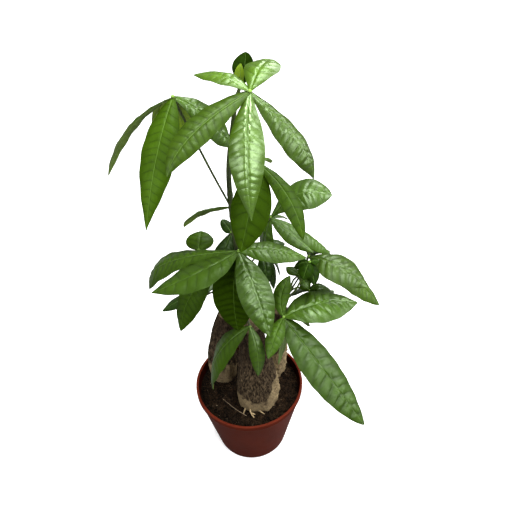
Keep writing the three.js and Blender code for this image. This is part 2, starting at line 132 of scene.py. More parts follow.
# Each shoot by its radii at the foot and at the end, and the points on its path.
SHOOTS = {
    "shoot_tall": {
        "radii": (3.4, 1.6),
        "path": [(0, -10, 206), (-2, -8, 224), (-2, -8, 254), (-2, -8, 286), (-3, -7, 320),
            (-5, -2, 350), (-5, 1, 388), (1, 2, 430), (5, 2, 452)],
    },
    "shoot_left": {
        "radii": (2.8, 2),
        "path": [(-18, 15, 191), (-16, 12, 208), (-16, 7, 224), (-17, 3, 238)],
    },
    "shoot_right": {
        "radii": (2.8, 1.8),
        "path": [(37, 18, 191), (38, 16, 206), (41, 11, 224), (45, 6, 240)],
    },
}
# A leaflet's colour setting from deep to bright holds painted shade and painted light as well as its
# own tone.
LEAVES = {
    "leaf_crown_front": Leaf("fresh", [(-5, 0, 364), (-2, -15, 402), (15, -30, 471.5)], [
        Leaflet((13, -80, 400.5), 23.2, arch=10, sway=2.3, peak=0.5, taper=2.5, cup=0.35, quilt=0.6,
            spacing=5.5, tint=0.8, gloss=2.6),
        Leaflet((-41.5, -73, 435), 19, arch=8, sway=2, peak=0.46, lean=0.72, roll=-22, quilt=0.55,
            tint=0.02, gloss=0.5),
        Leaflet((57.5, -56, 416.5), 20, arch=9, peak=0.48, taper=2.2, lean=0.75, roll=8, cup=0.5,
            quilt=0.9, spacing=5, tint=0.2, gloss=1.2),
        Leaflet((-24, -6, 473), 15, arch=5.5, lean=0.4, tint=1, gloss=1.4),
        Leaflet((31.5, 7, 476), 23.5, arch=7, sway=0.3, peak=0.58, tint=1, gloss=1.4),
    ]),
    "leaf_crown_bud": Leaf("dark", [(5, 2, 451), (6.5, 2, 455), (8, 2, 460)], [
        Leaflet((12.5, 14, 479), 15, arch=1, sway=1.5, cup=-0.5, gloss=0.05),
        Leaflet((9, 5, 474.5), 6, arch=1, cup=-0.5, tint=0, gloss=0.05, backlit=True),
    ]),
    "leaf_crown_left": Leaf("mid", [(-5, -1, 350), (-18, -8, 392), (-38, -22, 465)], [
        Leaflet((-92, -32, 409), 14, arch=9, sway=3, roll=38, gloss=0.4),
        Leaflet((-61, -79, 394.5), 25, arch=8, sway=-0.8, peak=0.45, taper=2.2, quilt=0.3,
            spacing=5.5, tint=0.6, gloss=0.2),
        Leaflet((-54, 10, 412), 20, arch=8, tint=0.8, backlit=True),
        Leaflet((-38, 8, 419), 26, arch=6, tint=0.9, backlit=True),
        Leaflet((-1, -9, 416), 22, arch=5, peak=0.64, roll=40, tint=0.9, gloss=1.3),
    ]),
    "leaf_crown_right": Leaf("mid", [(-5, -3, 343), (6, -10, 372), (18, -14, 404)], [
        Leaflet((51, -60, 363.5), 15, arch=11, sway=-1.5, lean=0.55, quilt=0.3, spacing=8,
            tint=0.25, gloss=0.2),
        Leaflet((3, -62, 355), 30, arch=8, sway=-3, quilt=0.4, spacing=9, tint=0.5, gloss=0.1),
        Leaflet((29, 20, 380), 10, arch=4, tint=1, backlit=True),
        Leaflet((10, 34, 399), 16, arch=5),
    ]),
    "leaf_arching": Leaf("mid", [(-4, -5, 330), (-3, 6, 336), (0, 12, 341)], [
        Leaflet((-48, 4, 327), 15, arch=9, lean=0.7, roll=50, tint=1, gloss=1.2),
        Leaflet((20, 34, 290), 16, arch=6),
    ]),
    "leaf_small_stem": Leaf("dark", [(-3, -8, 305), (-6, -2, 313), (-7, 2, 320)], [
        Leaflet((-15, 14, 326), 9.5, arch=1, peak=0.5, taper=1.1, gloss=0.3),
        Leaflet((-22, -24, 280), 20, arch=5),
    ]),
    "leaf_middle_left": Leaf("mid", [(-2, -8, 285), (-3, -20, 314), (0, -34, 331)], [
        Leaflet((-72, -60, 312), 31, arch=3, sway=-5, peak=0.5, taper=2.2, quilt=0.4, spacing=9),
        Leaflet((-80, -26, 287), 33, arch=16, peak=0.68, lean=0.85),
        Leaflet((23, -90, 288), 27, arch=8, quilt=1.0, spacing=6, tint=0.3, gloss=1.1),
        Leaflet((58, -24, 311), 25.5, arch=5, peak=0.48, quilt=0.9),
        Leaflet((-4, -58, 257.5), 37, arch=6, sway=3, quilt=0.25, tint=0, gloss=0.02),
    ]),
    "leaf_middle_right": Leaf("pale", [(-2, -8, 290), (11, 6, 315), (28, 14, 326)], [
        Leaflet((66, -2, 297), 12, arch=1, cup=0.9),
        Leaflet((86, 22, 271), 21, arch=5, cup=0.5),
        Leaflet((82, 16, 347), 32, arch=14, peak=0.62, lean=0.6, roll=15, quilt=0.7, spacing=7,
            gloss=1),
        Leaflet((22, 10, 280), 20, arch=4),
        Leaflet((44, 40, 302), 10, arch=3),
    ]),
    "leaf_middle_back": Leaf("dark", [(-2, -8, 262), (7, 8, 274), (21, 22, 280)], [
        Leaflet((30, 10, 238), 9, arch=5),
        Leaflet((23, 6, 249), 14, arch=4),
        Leaflet((37, 22, 239), 8, arch=5),
        Leaflet((42, 48, 264), 14, arch=6),
    ]),
    "leaf_low_front": Leaf("mid", [(-2, -8, 240), (1, -28, 254), (6, -44, 247)], [
        Leaflet((-32, -66, 182.5), 33, arch=10, sway=8, lean=0.6, twist=40, quilt=0.25, tint=0.5,
            gloss=0.5),
        Leaflet((12, -68, 204), 13, arch=5, sway=-2, quilt=0.3, tint=0.3),
    ]),
    "leaf_small_round": Leaf("mid", [(-2, -8, 268), (-22, 8, 286), (-37, -4, 306)], [
        Leaflet((-35.4, 18, 310), 24, arch=2, peak=0.5, taper=1.1, tint=0.25, gloss=0.3),
    ]),
    "leaf_low_left": Leaf("mid", [(-17, 3, 236), (-20, -2, 262), (-23, -4, 280)], [
        Leaflet((-60, -32, 229), 31, arch=7, sway=6, quilt=0.25, tint=0.4, gloss=0.2),
        Leaflet((-10, 46, 250), 20, arch=4),
        Leaflet((-56, 44, 224), 20, arch=10),
    ]),
    "leaf_low_back": Leaf("dark", [(-16, 9, 218), (-26, 20, 226), (-40, 24, 219)], [
        Leaflet((-85, 14, 207), 16, arch=6),
        Leaflet((-68, 66, 190), 22, arch=10),
        Leaflet((-26, 78, 190), 22, arch=10),
    ]),
    "leaf_outer_right": Leaf("fresh", [(40, 13, 218), (57, 20, 248), (63, 12, 279)], [
        Leaflet((114, -22, 270), 34, arch=9, sway=1.5, quilt=0.95, spacing=7.5, tint=0.02,
            gloss=0.8),
        Leaflet((136, 6, 214), 29, arch=8, roll=10, quilt=0.7, spacing=7, tint=0.1, gloss=0.6),
        Leaflet((84, 60, 238), 22, arch=8),
    ]),
    "leaf_young_top": Leaf("dark", [(41, 11, 224), (50, -7, 254), (62, -7, 290)], [
        Leaflet((48, -6, 283), 12, arch=2, tint=0.2, gloss=0.1),
        Leaflet((55, -22, 282), 13, arch=2, tint=0.2, gloss=0.1),
        Leaflet((66, -22, 275), 12, arch=2, tint=0.1, gloss=0.15),
        Leaflet((71, -6, 290), 8, arch=1, gloss=0.1),
    ]),
    "leaf_young_low": Leaf("pale", [(45, 6, 240), (49, 9, 251), (54, 4, 262)], [
        Leaflet((42, 14, 264), 10, arch=1, gloss=0.3),
        Leaflet((62, -6, 254), 8, arch=2),
    ]),
    "leaf_young_side": Leaf("pale", [(43, 9, 232), (52, 9, 240), (64, 4, 241)], [
        Leaflet((56, 1, 258), 12, arch=1, roll=-75),
        Leaflet((73, 6, 247), 6, arch=1),
        Leaflet((86, 8, 236), 13, arch=4, tint=0.1),
        Leaflet((44, 27, 204), 18, arch=5, tint=0.05),
    ]),
    "leaf_low_right": Leaf("pale", [(38, 15, 210), (40, -10, 238), (37, -36, 249)], [
        Leaflet((109, -14, 241), 39.5, arch=8, sway=-1, peak=0.5, quilt=1.0, spacing=9.5,
            gloss=1.1),
        Leaflet((107, -108, 179), 34, arch=6, sway=2.8, peak=0.5, taper=1.6, quilt=1.15, spacing=11,
            tint=0.02, gloss=0.6),
        Leaflet((45, -4, 270), 14, arch=3, sway=-5, tint=0.25, gloss=0.3),
        Leaflet((64, 0, 192), 18, arch=6),
        Leaflet((21.5, -70, 232), 15, arch=5, gloss=0.5),
        Leaflet((91, 20, 223), 22, arch=5),
        Leaflet((32, -30, 170), 9, arch=1, sway=4),
    ]),
}


# Sizes and colours


def float_property(name, description, default, **more):
    return bpy.props.FloatProperty(name=name, description=description, default=default, **more)


def length_property(name, description, millimetres):
    return float_property(name, description, millimetres * MM, min=0, unit="LENGTH", precision=4)


def number_property(name, description, default):
    return float_property(name, description, default, min=0)


def angle_property(name, description, degrees):
    return float_property(name, description, math.radians(degrees), subtype="ANGLE")


def power_property(name, description, watts):
    return float_property(name, description, watts, min=0, unit="POWER")


def count_property(name, description, default):
    return bpy.props.IntProperty(name=name, description=description, default=default, min=1)


def colour_property(name, description, default):
    return bpy.props.FloatVectorProperty(
        name=name, description=description, default=default, subtype="COLOR", size=3, min=0, max=1
    )


def settings(name):
    """The values held under that name in the scene, with lengths in millimetres."""
    group = getattr(bpy.context.scene, name)
    values = {}
    for key in group.__annotations__:
        value = getattr(group, key)
        if group.bl_rna.properties[key].unit == "LENGTH":
            value = value / MM
        values[key] = tuple(value) if hasattr(value, "__len__") else value
    return SimpleNamespace(**values)


class PotSettings(bpy.types.PropertyGroup):
    """Sizes of the nursery pot and its plastic."""

    rim_radius: length_property("Rim radius", "Outer radius of the lip", 60)
    lip_width: length_property("Lip width", "How far the lip stands out from the wall", 1.2)
    lip_height: length_property("Lip height", "Height of the lip", 6)
    lip_rounding: length_property("Lip rounding", "Radius of the lip's edges", 0.8)
    height: length_property("Height", "Height of the pot", 100)
    wall: length_property("Wall", "Thickness of the wall", 1.4)
    base_radius: length_property("Base radius", "Radius of the base", 40.5)
    heel_radius: length_property("Heel radius", "Rounding between base and wall", 5)
    inside_heel: length_property("Inside heel", "Slope between wall and floor inside", 3)
    floor: length_property("Floor", "Thickness of the floor", 2.4)
    drain_count: count_property("Drain holes", "Number of holes in the floor", 8)
    drain_ring: length_property("Drain ring", "Distance of the holes from the middle", 27)
    drain_radius: length_property("Drain radius", "Radius of a hole", 3.5)
    # The bright line along the rim is a painted highlight on its top face.
    highlight_band: length_property("Bright line", "Height of the bright line along the rim", 1.3)
    colour: colour_property("Plastic", "Colour of the plastic", (0.086, 0.0115, 0.0035))
    highlight_colour: colour_property("Line", "Colour of the bright line", (0.125, 0.02, 0.009))


class SoilSettings(bpy.types.PropertyGroup):
    """Sizes of the potting soil and its colours."""

    top: length_property("Top", "Height of the soil at its shoulder", 90)
    crown: length_property("Crown", "Rise from the shoulder to the middle", 2)
    edge: length_property("Edge", "Bevel at the wall", 1.5)
    gap: length_property("Gap", "Space between soil and wall", 0.6)
    lumps: length_property("Lumps", "Height of the surface's unevenness", 1.7)
    clump_density: number_property("Clump density", "Clumps on a square metre", 60000)
    crumb_density: number_property("Crumb density", "Crumbs on a square metre", 300000)
    fibre_density: number_property("Fibre density", "Fibres on a square metre", 120000)
    chip_density: number_property("Chip density", "Pale chips on a square metre", 9000)
    seed: count_property("Seed", "Placing of the crumbs", 7)
    dark: colour_property("Dark peat", "Colour in the hollows", (0.0022, 0.0014, 0.0009))
    light: colour_property("Light peat", "Colour of the crumbs' tops", (0.041, 0.024, 0.012))
    fibre: colour_property("Fibre", "Colour of the fibres", (0.06, 0.032, 0.015))
    chip: colour_property("Chip", "Colour of the pale chips", (0.3, 0.23, 0.15))


class TrunkSettings(bpy.types.PropertyGroup):
    """Shape of the swollen trunks and their bark."""

    ridges: count_property("Ridges", "Number of lengthwise ridges", 5)
    ridge_depth: number_property("Ridge depth", "Ridge height, as a share of the radius", 0.035)
    knots: count_property("Knots", "Number of bumps round a section", 8)
    knot_depth: number_property("Knot depth", "Bump height, as a share of the radius", 0.018)
    fissure: length_property("Fissures", "Depth of the lengthwise cracks", 0.6)
    cork: length_property("Cork", "Roughness of the swollen foot", 0.8)
    nodules: length_property("Nodules", "Height of the corky nodules on the foot's right side", 1.1)
    knot_height: length_property("Knot height", "Height of the dark knot on the front trunk", 134)
    foot_top: length_property("Foot top", "Height where the pale foot ends", 109)
    foot_climb: length_property("Foot climb", "How much higher the foot reaches on the right", 26)
    bark_dark: colour_property("Dark bark", "Colour in the cracks", (0.02, 0.012, 0.006))
    bark_light: colour_property("Light bark", "Colour of the bark's face", (0.17, 0.122, 0.07))
    foot: colour_property("Foot", "Colour of the pale corky foot", (0.4, 0.3, 0.165))
    cut: colour_property("Cut wood", "Colour of the cut top", (0.11, 0.08, 0.045))


class ShootSettings(bpy.types.PropertyGroup):
    """Shape of the green shoots and the leaf stalks and their skin."""

    node_swelling: length_property("Node swelling", "Swelling where a leaf joins", 0.5)
    stalk_radius: length_property("Stalk radius", "Radius of a leaf's petiole", 0.95)
    stalk_foot: length_property("Stalk foot", "Radius of the petiole's swollen foot", 1.8)
    hub_radius: length_property("Hub radius", "Radius of the knob that carries the leaflets", 1.4)
    old_skin: colour_property("Old skin", "Colour low on the shoot", (0.042, 0.05, 0.01))
    young_skin: colour_property("Young skin", "Colour of the young stalks", (0.06, 0.1, 0.012))
    fresh_skin: colour_property("Fresh skin", "Colour of the youngest stalks", (0.13, 0.2, 0.03))
    hub: colour_property("Hub", "Colour where the leaflets meet", (0.2, 0.34, 0.06))


class LeafSettings(bpy.types.PropertyGroup):
    """Shape of the leaflets and their colours."""

    thickness: length_property("Thickness", "Thickness of a blade", 0.45)
    rib_depth: length_property("Rib depth", "Depth of the rib below the blade at the hub", 0.9)
    groove: length_property("Groove", "Depth of the groove above the rib", 0.45)
    stem: length_property("Stem", "Half width at the hub", 1.1)
    tip: length_property("Tip", "Half width at the tip", 0.35)
    cup_power: number_property("Cup power", "How late the margins turn down", 1.5)
    vein_slope: number_property("Vein slope", "How far a side vein leans to the tip", 0.3)
    vein_bend: number_property("Vein bend", "How much a side vein curves to the tip", 0.012)
    dome: number_property("Dome", "How steep the swellings between veins are, small is steep", 0.5)
    ripple: length_property("Ripple", "Height of the waves in the margin", 0.4)
    ripple_length: length_property("Ripple length", "Length of a wave in the margin", 17)
    step: length_property("Step", "Distance between rows of the mesh", 0.9)
    dark: colour_property("Dark leaf", "Colour of old, shaded leaves", (0.013, 0.036, 0.0008))
    mid: colour_property("Middle leaf", "Colour of most leaves", (0.034, 0.076, 0.0016))
    fresh: colour_property("Fresh leaf", "Colour of the crown's leaves", (0.048, 0.1, 0.003))
    pale: colour_property("Pale leaf", "Colour of the pale low leaves", (0.04, 0.088, 0.004))
    vein: colour_property("Vein", "Colour of ribs and veins", (0.17, 0.3, 0.06))
    # The underside colour is partly the leaf's own and partly painted light for light shining through
    # the blade.
    under: colour_property("Underside", "Colour of the underside", (0.125, 0.195, 0.024))
    backlit: colour_property("Backlit leaf", "Colour with light behind", (0.26, 0.42, 0.004))


class StageSettings(bpy.types.PropertyGroup):
    """Camera, floor and lights."""

    focal: number_property("Focal length", "Camera's focal length in millimetres", 41.22)
    pitch: angle_property("Pitch", "How far the camera looks down", 43.6)
    roll: angle_property("Roll", "How far the camera leans", -2)
    place: bpy.props.FloatVectorProperty(
        name="Place",
        description="Camera's place",
        default=(0.0191, -0.399, 0.665),
        size=3,
        subtype="TRANSLATION",
        unit="LENGTH",
    )
    floor: colour_property("Floor", "Colour of the floor", (0.9, 0.9, 0.9))
    bounce: number_property("Floor bounce", "Share of light that the floor throws back", 0.25)
    glow: number_property("Floor glow", "Extra light that the camera sees in the floor", 0.6)
    sky: number_property("Sky", "Strength of the even light", 0.22)
    top: power_property("Top light", "Power of the overhead softbox", 24)
    front: power_property("Front light", "Power of the softbox to the camera's right", 13)
    left: power_property("Left light", "Power of the softbox to the camera's left", 7)
    side: power_property("Side light", "Power of the softbox on the right", 15)
    back: power_property("Back light", "Power of the softbox behind the plant", 16)


SETTINGS = {
    "money_tree_pot": PotSettings,
    "money_tree_soil": SoilSettings,
    "money_tree_trunk": TrunkSettings,
    "money_tree_shoot": ShootSettings,
    "money_tree_leaf": LeafSettings,
    "money_tree_stage": StageSettings,
}


# Curves and skins

# Points on a curve between two given ones, before they are spaced evenly.
CURVE_STEPS = 40


def normalised(vectors):
    return vectors / np.linalg.norm(vectors, axis=-1, keepdims=True)


def ramp(values, start, end):
    """0 at the start, 1 at the end, straight between them and level beyond."""
    return np.clip((values - start) / (end - start), 0, 1)


def angles_round(count):
    """Evenly spaced angles round a full turn."""
    return np.linspace(0, 2 * math.pi, count, endpoint=False)


def unit_circle(count):
    """Points round a level circle of radius 1."""
    angles = angles_round(count)
    return np.stack([np.cos(angles), np.sin(angles), 0 * angles], 1)


def turned_about(vector, axis, angles):
    """A vector turned about a unit axis by each angle."""
    cosines = np.cos(angles)[:, None]
    sines = np.sin(angles)[:, None]
    rest = axis * (axis @ vector) * (1 - cosines)
    return vector * cosines + np.cross(axis, vector) * sines + rest


def lengths_along(points):
    """How far each point of a line lies from its start, along the line."""
    return np.concatenate([[0], np.cumsum(np.linalg.norm(np.diff(points, axis=0), axis=1))])


def smooth_path(points, count):
    """Evenly spaced points along a centripetal curve through the given points."""
    points = np.array(points, float)
    ends = [2 * points[0] - points[1], *points, 2 * points[-1] - points[-2]]
    dense = []
    for p0, p1, p2, p3 in zip(ends, ends[1:], ends[2:], ends[3:]):
        d0, d1, d2 = (math.sqrt(np.linalg.norm(b - a)) for a, b in ((p0, p1), (p1, p2), (p2, p3)))
        m1 = ((p1 - p0) / d0 - (p2 - p0) / (d0 + d1) + (p2 - p1) / d1) * d1
        m2 = ((p2 - p1) / d1 - (p3 - p1) / (d1 + d2) + (p3 - p2) / d2) * d1
        for t in np.linspace(0, 1, CURVE_STEPS, endpoint=False):
            squared = (-3 * p1 + 3 * p2 - 2 * m1 - m2) * t**2
            dense.append(p1 + m1 * t + squared + (2 * p1 - 2 * p2 + m1 + m2) * t**3)
    dense = np.array([*dense, points[-1]])
    reach = lengths_along(dense)
    even = np.linspace(0, reach[-1], count)
    return np.stack([np.interp(even, reach, dense[:, k]) for k in range(3)], 1)


def eased(values, at):
    """Smooth interpolation of a table's rows, whose first column is the place."""
    values = np.array(values, float)
    places = values[:, 0]
    slopes = np.gradient(values[:, 1:], places, axis=0)
    i = np.clip(np.searchsorted(places, at) - 1, 0, len(places) - 2)
    width = (places[i + 1] - places[i])[:, None]
    t = (at - places[i])[:, None] / width
    start, end = values[i, 1:], values[i + 1, 1:]
    return (
        start * (2 * t**3 - 3 * t**2 + 1)
        + end * (3 * t**2 - 2 * t**3)
        + slopes[i] * width * (t**3 - 2 * t**2 + t)
        + slopes[i + 1] * width * (t**3 - t**2)
    )


def roughened(points, size, octaves, seed):
    """Smooth noise from -1 to 1 at each point, with features of about the given size."""
    shift = Vector((seed, 2.3 * seed, 5.1 * seed))
    return np.array(
        [noise.fractal(Vector(p) / size + shift, 0.9, 2.0, octaves) for p in points.tolist()]
    )


class Skin:
    """Points, faces, material places and the blade pattern of one piece, in millimetres."""

    def __init__(self):
        self.points = []
        self.faces = []
        self.slots = []
        self.blade = []
        self.looks = {"tint": [], "gloss": [], "edge": []}

    def add(self, points, faces, slot=0, blade=None, **looks):
        start = len(self.points)
        points = np.asarray(points, float).reshape(-1, 3)
        self.points.extend(points.tolist())
        self.faces.extend([tuple(start + v for v in face) for face in faces])
        self.slots.extend([slot] * len(faces) if isinstance(slot, int) else slot)
        blade = np.zeros((len(points), 3)) if blade is None else blade
        self.blade.extend(blade.tolist())
        for name, values in self.looks.items():
            values.extend(np.broadcast_to(looks.get(name, 0.5), len(points)).tolist())

    def grid(self, grid, around=False, caps=False, slot=0):
        """Rows of points joined into a sheet, or into a bar where the rows close on themselves."""
        rows, columns = grid.shape[:2]
        points = grid.reshape(-1, 3)
        faces = []
        for i in range(rows - 1):
            for j in range(columns if around else columns - 1):
                low, high = i * columns, (i + 1) * columns
                k = (j + 1) % columns
                faces.append((low + j, low + k, high + k, high + j))
        if caps:
            points = np.concatenate([points, [grid[0].mean(0)], [grid[-1].mean(0)]])
            start, end, tail = rows * columns, rows * columns + 1, (rows - 1) * columns
            for j in range(columns):
                k = (j + 1) % columns
                faces += [(start, k, j), (end, tail + j, tail + k)]
        self.add(points, faces, slot)

    def bar(self, path, radii, sides=12, slot=0):
        """A round bar along a path, closed at both ends."""
        path = np.asarray(path, float)
        ahead = normalised(np.gradient(path, axis=0))
        across = np.cross(ahead[0], UP if abs(ahead[0][2]) < 0.9 else np.array([1.0, 0, 0]))
        angles = angles_round(sides)[:, None]
        rings = []
        for centre, way, radius in zip(path, ahead, np.broadcast_to(radii, len(path))):
            across = normalised(across - way * (across @ way))
            other = np.cross(way, across)
            rings.append(centre + radius * (np.cos(angles) * across + np.sin(angles) * other))
        self.grid(np.array(rings), around=True, caps=True, slot=slot)

    def build(self, name, materials, sharp=50):
        """The piece made of these points and faces, with edges sharp above that many degrees."""
        mesh = bpy.data.meshes.new(name)
        mesh.from_pydata((np.array(self.points) * MM).tolist(), [], self.faces)
        for material in materials:
            mesh.materials.append(material)
        mesh.polygons.foreach_set("material_index", self.slots)
        mesh.shade_smooth()
        mesh.set_sharp_from_angle(angle=math.radians(sharp))
        pattern = mesh.attributes.new("blade", "FLOAT_VECTOR", "POINT")
        pattern.data.foreach_set("vector", np.array(self.blade, np.float32).ravel())
        for key, values in self.looks.items():
            look = mesh.attributes.new(key, "FLOAT", "POINT")
            look.data.foreach_set("value", np.array(values, np.float32))
        mesh.validate()
        piece = bpy.data.objects.new("dressed_" + name, mesh)
        bpy.context.scene.collection.objects.link(piece)
        return piece


def hand_over(piece, node):
    """The piece stands for the plain solid of that name and takes its place."""
    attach(piece, "root")
    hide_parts(node)


# Shader building


def scaled(colour, factor):
    return tuple(min(1.0, c * factor) for c in colour)


class Nodes:
    """A short way to lay out and join shader or geometry nodes."""

    def __init__(self, tree):
        self.tree = tree

    def feed(self, socket, value):
        """Joins one socket to another or gives it a value. Three numbers will do for a colour."""
        if isinstance(value, bpy.types.NodeSocket):
            self.tree.links.new(value, socket)
        elif socket.type == "RGBA" and len(value) == 3:
            socket.default_value = (*value, 1.0)
        else:
            socket.default_value = value

    def set(self, node, **inputs):
        """Feeds a node's inputs by name, with _ where the name has a space."""
        for key, value in inputs.items():
            self.feed(node.inputs[key.replace("_", " ")], value)
        return node

    def add(self, kind, fields=(), **inputs):
        node = self.tree.nodes.new(kind)
        for key, value in dict(fields).items():
            setattr(node, key, value)
        return self.set(node, **inputs)

    def group(self, name, **inputs):
        return self.add("ShaderNodeGroup", {"node_tree": bpy.data.node_groups[name]}, **inputs).outputs

    def math(self, operation, *values):
        node = self.add("ShaderNodeMath", {"operation": operation})
        for socket, value in zip(node.inputs, values):
            self.feed(socket, value)
        return node.outputs[0]

    def plus(self, first, second):
        return self.math("ADD", first, second)

    def minus(self, first, second):
        return self.math("SUBTRACT", first, second)

    def times(self, first, second):
        return self.math("MULTIPLY", first, second)

    def mix(self, factor, first, second):
        node = self.add("ShaderNodeMix", {"data_type": "RGBA"})
        for place, value in zip((0, 6, 7), (factor, first, second)):
            self.feed(node.inputs[place], value)
        return node.outputs[2]

    def shades(self, factor, colour, low, high):
        """The colour between two of its brightnesses."""
        return self.mix(factor, scaled(colour, low), scaled(colour, high))

    def span(self, value, low, high, to_low=0.0, to_high=1.0, smooth=True):
        kind = {"interpolation_type": "SMOOTHSTEP" if smooth else "LINEAR"}
        node = self.add("ShaderNodeMapRange", kind)
        for socket, given in zip(node.inputs, (value, low, high, to_low, to_high)):
            self.feed(socket, given)
        return node.outputs[0]

    def spread(self, noise, to_low=0.0, to_high=1.0):
        """A noise's usual range stretched over another one."""
        return self.span(noise, 0.3, 0.7, to_low, to_high)

    def noise(self, vector, scale, detail=4.0, roughness=0.55, stretch=None):
        if stretch:
            vector = self.add("ShaderNodeMapping", Vector=vector, Scale=stretch).outputs[0]
        grain = {"Scale": scale, "Detail": detail, "Roughness": roughness}
        return self.add("ShaderNodeTexNoise", Vector=vector, **grain).outputs["Fac"]

    def object_place(self):
        return self.add("ShaderNodeTexCoord").outputs["Object"]

    def part(self, vector, axis):
        return self.add("ShaderNodeSeparateXYZ", Vector=vector).outputs[axis]

    def attribute(self, name, output="Fac"):
        return self.add("ShaderNodeAttribute", {"attribute_name": name}).outputs[output]

    def near_half(self, value, width):
        """One where a noise passes through its middle, which draws thin wandering lines."""
        away = self.math("ABSOLUTE", self.minus(value, 0.5))
        return self.span(away, 0.0, width, 1.0, 0.0)


class Surface(Nodes):
    """A new material with its surface shader."""

    def __init__(self, name):
        self.material = bpy.data.materials.new(name)
        self.material.use_nodes = True
        super().__init__(self.material.node_tree)
        self.shader = self.tree.nodes["Principled BSDF"]

    def mottle(self, place, large, small):
        """Soft blotches and a fine grain, by how many fit in a metre."""
        group = self.group("mottle", Vector=place, Large=large, Small=small)
        return group["Blotch"], group["Grain"]

    def veins(self):
        return self.group("leaf_veins", Blade=self.attribute("blade", "Vector"))

    def finish(self, height, strength, distance, **inputs):
        """Bumps the surface by a height, feeds the shader's other inputs and returns the material."""
        bump = self.add("ShaderNodeBump", Height=height, Strength=strength, Distance=distance)
        self.set(self.shader, Normal=bump.outputs[0], **inputs)
        return self.material


def new_tree(kind, name, inputs, outputs):
    """A node group with those sockets: its helper, what it is given and the node for its outputs."""
    tree = bpy.data.node_groups.new(name, kind)
    for way, sockets in (("INPUT", inputs), ("OUTPUT", outputs)):
        for title, value in sockets.items():
            tree.interface.new_socket(title, in_out=way, socket_type="NodeSocket" + value)
    nodes = Nodes(tree)
    return nodes, nodes.add("NodeGroupInput").outputs, nodes.add("NodeGroupOutput")


def mottle_group():
    """Two sizes of soft blotches and a fine grain, for every natural surface."""
    inputs = {"Vector": "Vector", "Large": "Float", "Small": "Float"}
    outputs = {"Blotch": "Float", "Grain": "Float"}
    nodes, given, made = new_tree("ShaderNodeTree", "mottle", inputs, outputs)
    blotch = nodes.noise(given["Vector"], given["Large"], detail=3)
    grain = nodes.noise(given["Vector"], given["Small"], detail=5, roughness=0.65)
    nodes.set(made, Blotch=blotch, Grain=grain)


def vein_group():
    """The midrib and side veins of a leaflet, from its blade pattern.

    The pattern is the distance from the rib, the count of veins passed and the share of the rib.
    """
    rib_width, vein_width = 0.36, 0.12
    outputs = {"Rib": "Float", "Vein": "Float", "Swelling": "Float"}
    nodes, given, made = new_tree("ShaderNodeTree", "leaf_veins", {"Blade": "Vector"}, outputs)
    blade = given["Blade"]
    away = nodes.math("ABSOLUTE", nodes.part(blade, "X"))
    rib_edge = nodes.times(rib_width, nodes.minus(1.25, nodes.part(blade, "Z")))
    rib = nodes.span(away, nodes.times(rib_edge, 0.45), rib_edge, 1.0, 0.0)
    phase = nodes.math("FRACT", nodes.part(blade, "Y"))
    gap = nodes.minus(0.5, nodes.math("ABSOLUTE", nodes.minus(phase, 0.5)))
    vein = nodes.span(gap, 0.0, vein_width, 1.0, 0.0)
    nodes.set(made, Rib=rib, Vein=vein, Swelling=nodes.math("SINE", nodes.times(phase, math.pi)))


def leaf_material(name, colour, looks):
    """The glossy upper face of a leaf: mottled green, with a pale rib and sunken side veins, with
    painted light on the swellings and painted shade in the vein grooves and at the margins.
    """
    nodes = Surface(name)
    veins = nodes.veins()
    blotch, grain = nodes.mottle(nodes.object_place(), large=60, small=900)
    blotch = nodes.spread(blotch)
    # The deep and bright copies of the colour are painted shade and painted light, and a leaflet's
    # colour setting picks between them.
    deep = nodes.shades(blotch, colour, 0.3, 0.5)
    bright = nodes.shades(blotch, colour, 1.3, 1.9)
    base = nodes.mix(nodes.attribute("tint"), deep, bright)
    # Painted light: the swellings between the side veins are painted lighter, where they catch the
    # light.
    base = nodes.mix(nodes.times(veins["Swelling"], 0.25), base, scaled(colour, 1.7))
    # Painted shade: the margins are painted darker where they turn down away from the light.
    margin = nodes.span(nodes.attribute("edge"), 0.3, 1.0)
    base = nodes.mix(nodes.times(margin, 0.5), base, scaled(colour, 0.5))
    # Painted shade: the side veins are painted darker as the shade in their grooves, less so near the
    # margins.
    painted_groove_shade = nodes.times(veins["Vein"], nodes.span(margin, 0.0, 1.0, 0.5, 0.1))
    veined = nodes.mix(painted_groove_shade, base, scaled(colour, 0.45))
    gloss = nodes.times(nodes.attribute("gloss"), nodes.span(margin, 0.0, 1.0, 1.1, 0.5))
    dull = nodes.span(gloss, 0.0, 1.0, 0.3, 0.0, smooth=False)
    height = nodes.minus(grain, nodes.times(veins["Vein"], 0.8))
    return nodes.finish(
        height,
        strength=0.35,
        distance=0.0002,
        Base_Color=nodes.mix(nodes.times(veins["Rib"], 0.4), veined, looks.vein),
        Roughness=nodes.plus(nodes.spread(grain, 0.26, 0.38), dull),
        IOR=1.5,
        Specular_IOR_Level=nodes.times(gloss, 0.6),
        Specular_Tint=(0.72, 1.0, 0.55),
        Coat_Weight=nodes.times(gloss, 0.14),
        Coat_Roughness=0.25,
    )


def underside_material(name, face, looks):
    """The duller, yellower underside, with its raised rib and veins. Its colour is partly the leaf's
    own paler underside and partly painted light for light shining through the blade.
    """
    nodes = Surface(name)
    veins = nodes.veins()
    blotch, grain = nodes.mottle(nodes.object_place(), large=70, small=800)
    base = nodes.shades(nodes.spread(blotch), face, 0.6, 1.1)
    # Painted shade: a leaflet's colour setting also darkens the underside towards the middle green.
    base = nodes.mix(nodes.attribute("tint"), nodes.mix(0.35, base, looks.mid), base)
    marked = nodes.math("MAXIMUM", veins["Rib"], nodes.times(veins["Vein"], 0.5))
    colour = nodes.mix(nodes.times(marked, 0.7), base, looks.vein)
    rough = nodes.spread(grain, 0.5, 0.68)
    return nodes.finish(grain, strength=0.3, distance=0.0002, Base_Color=colour, Roughness=rough)


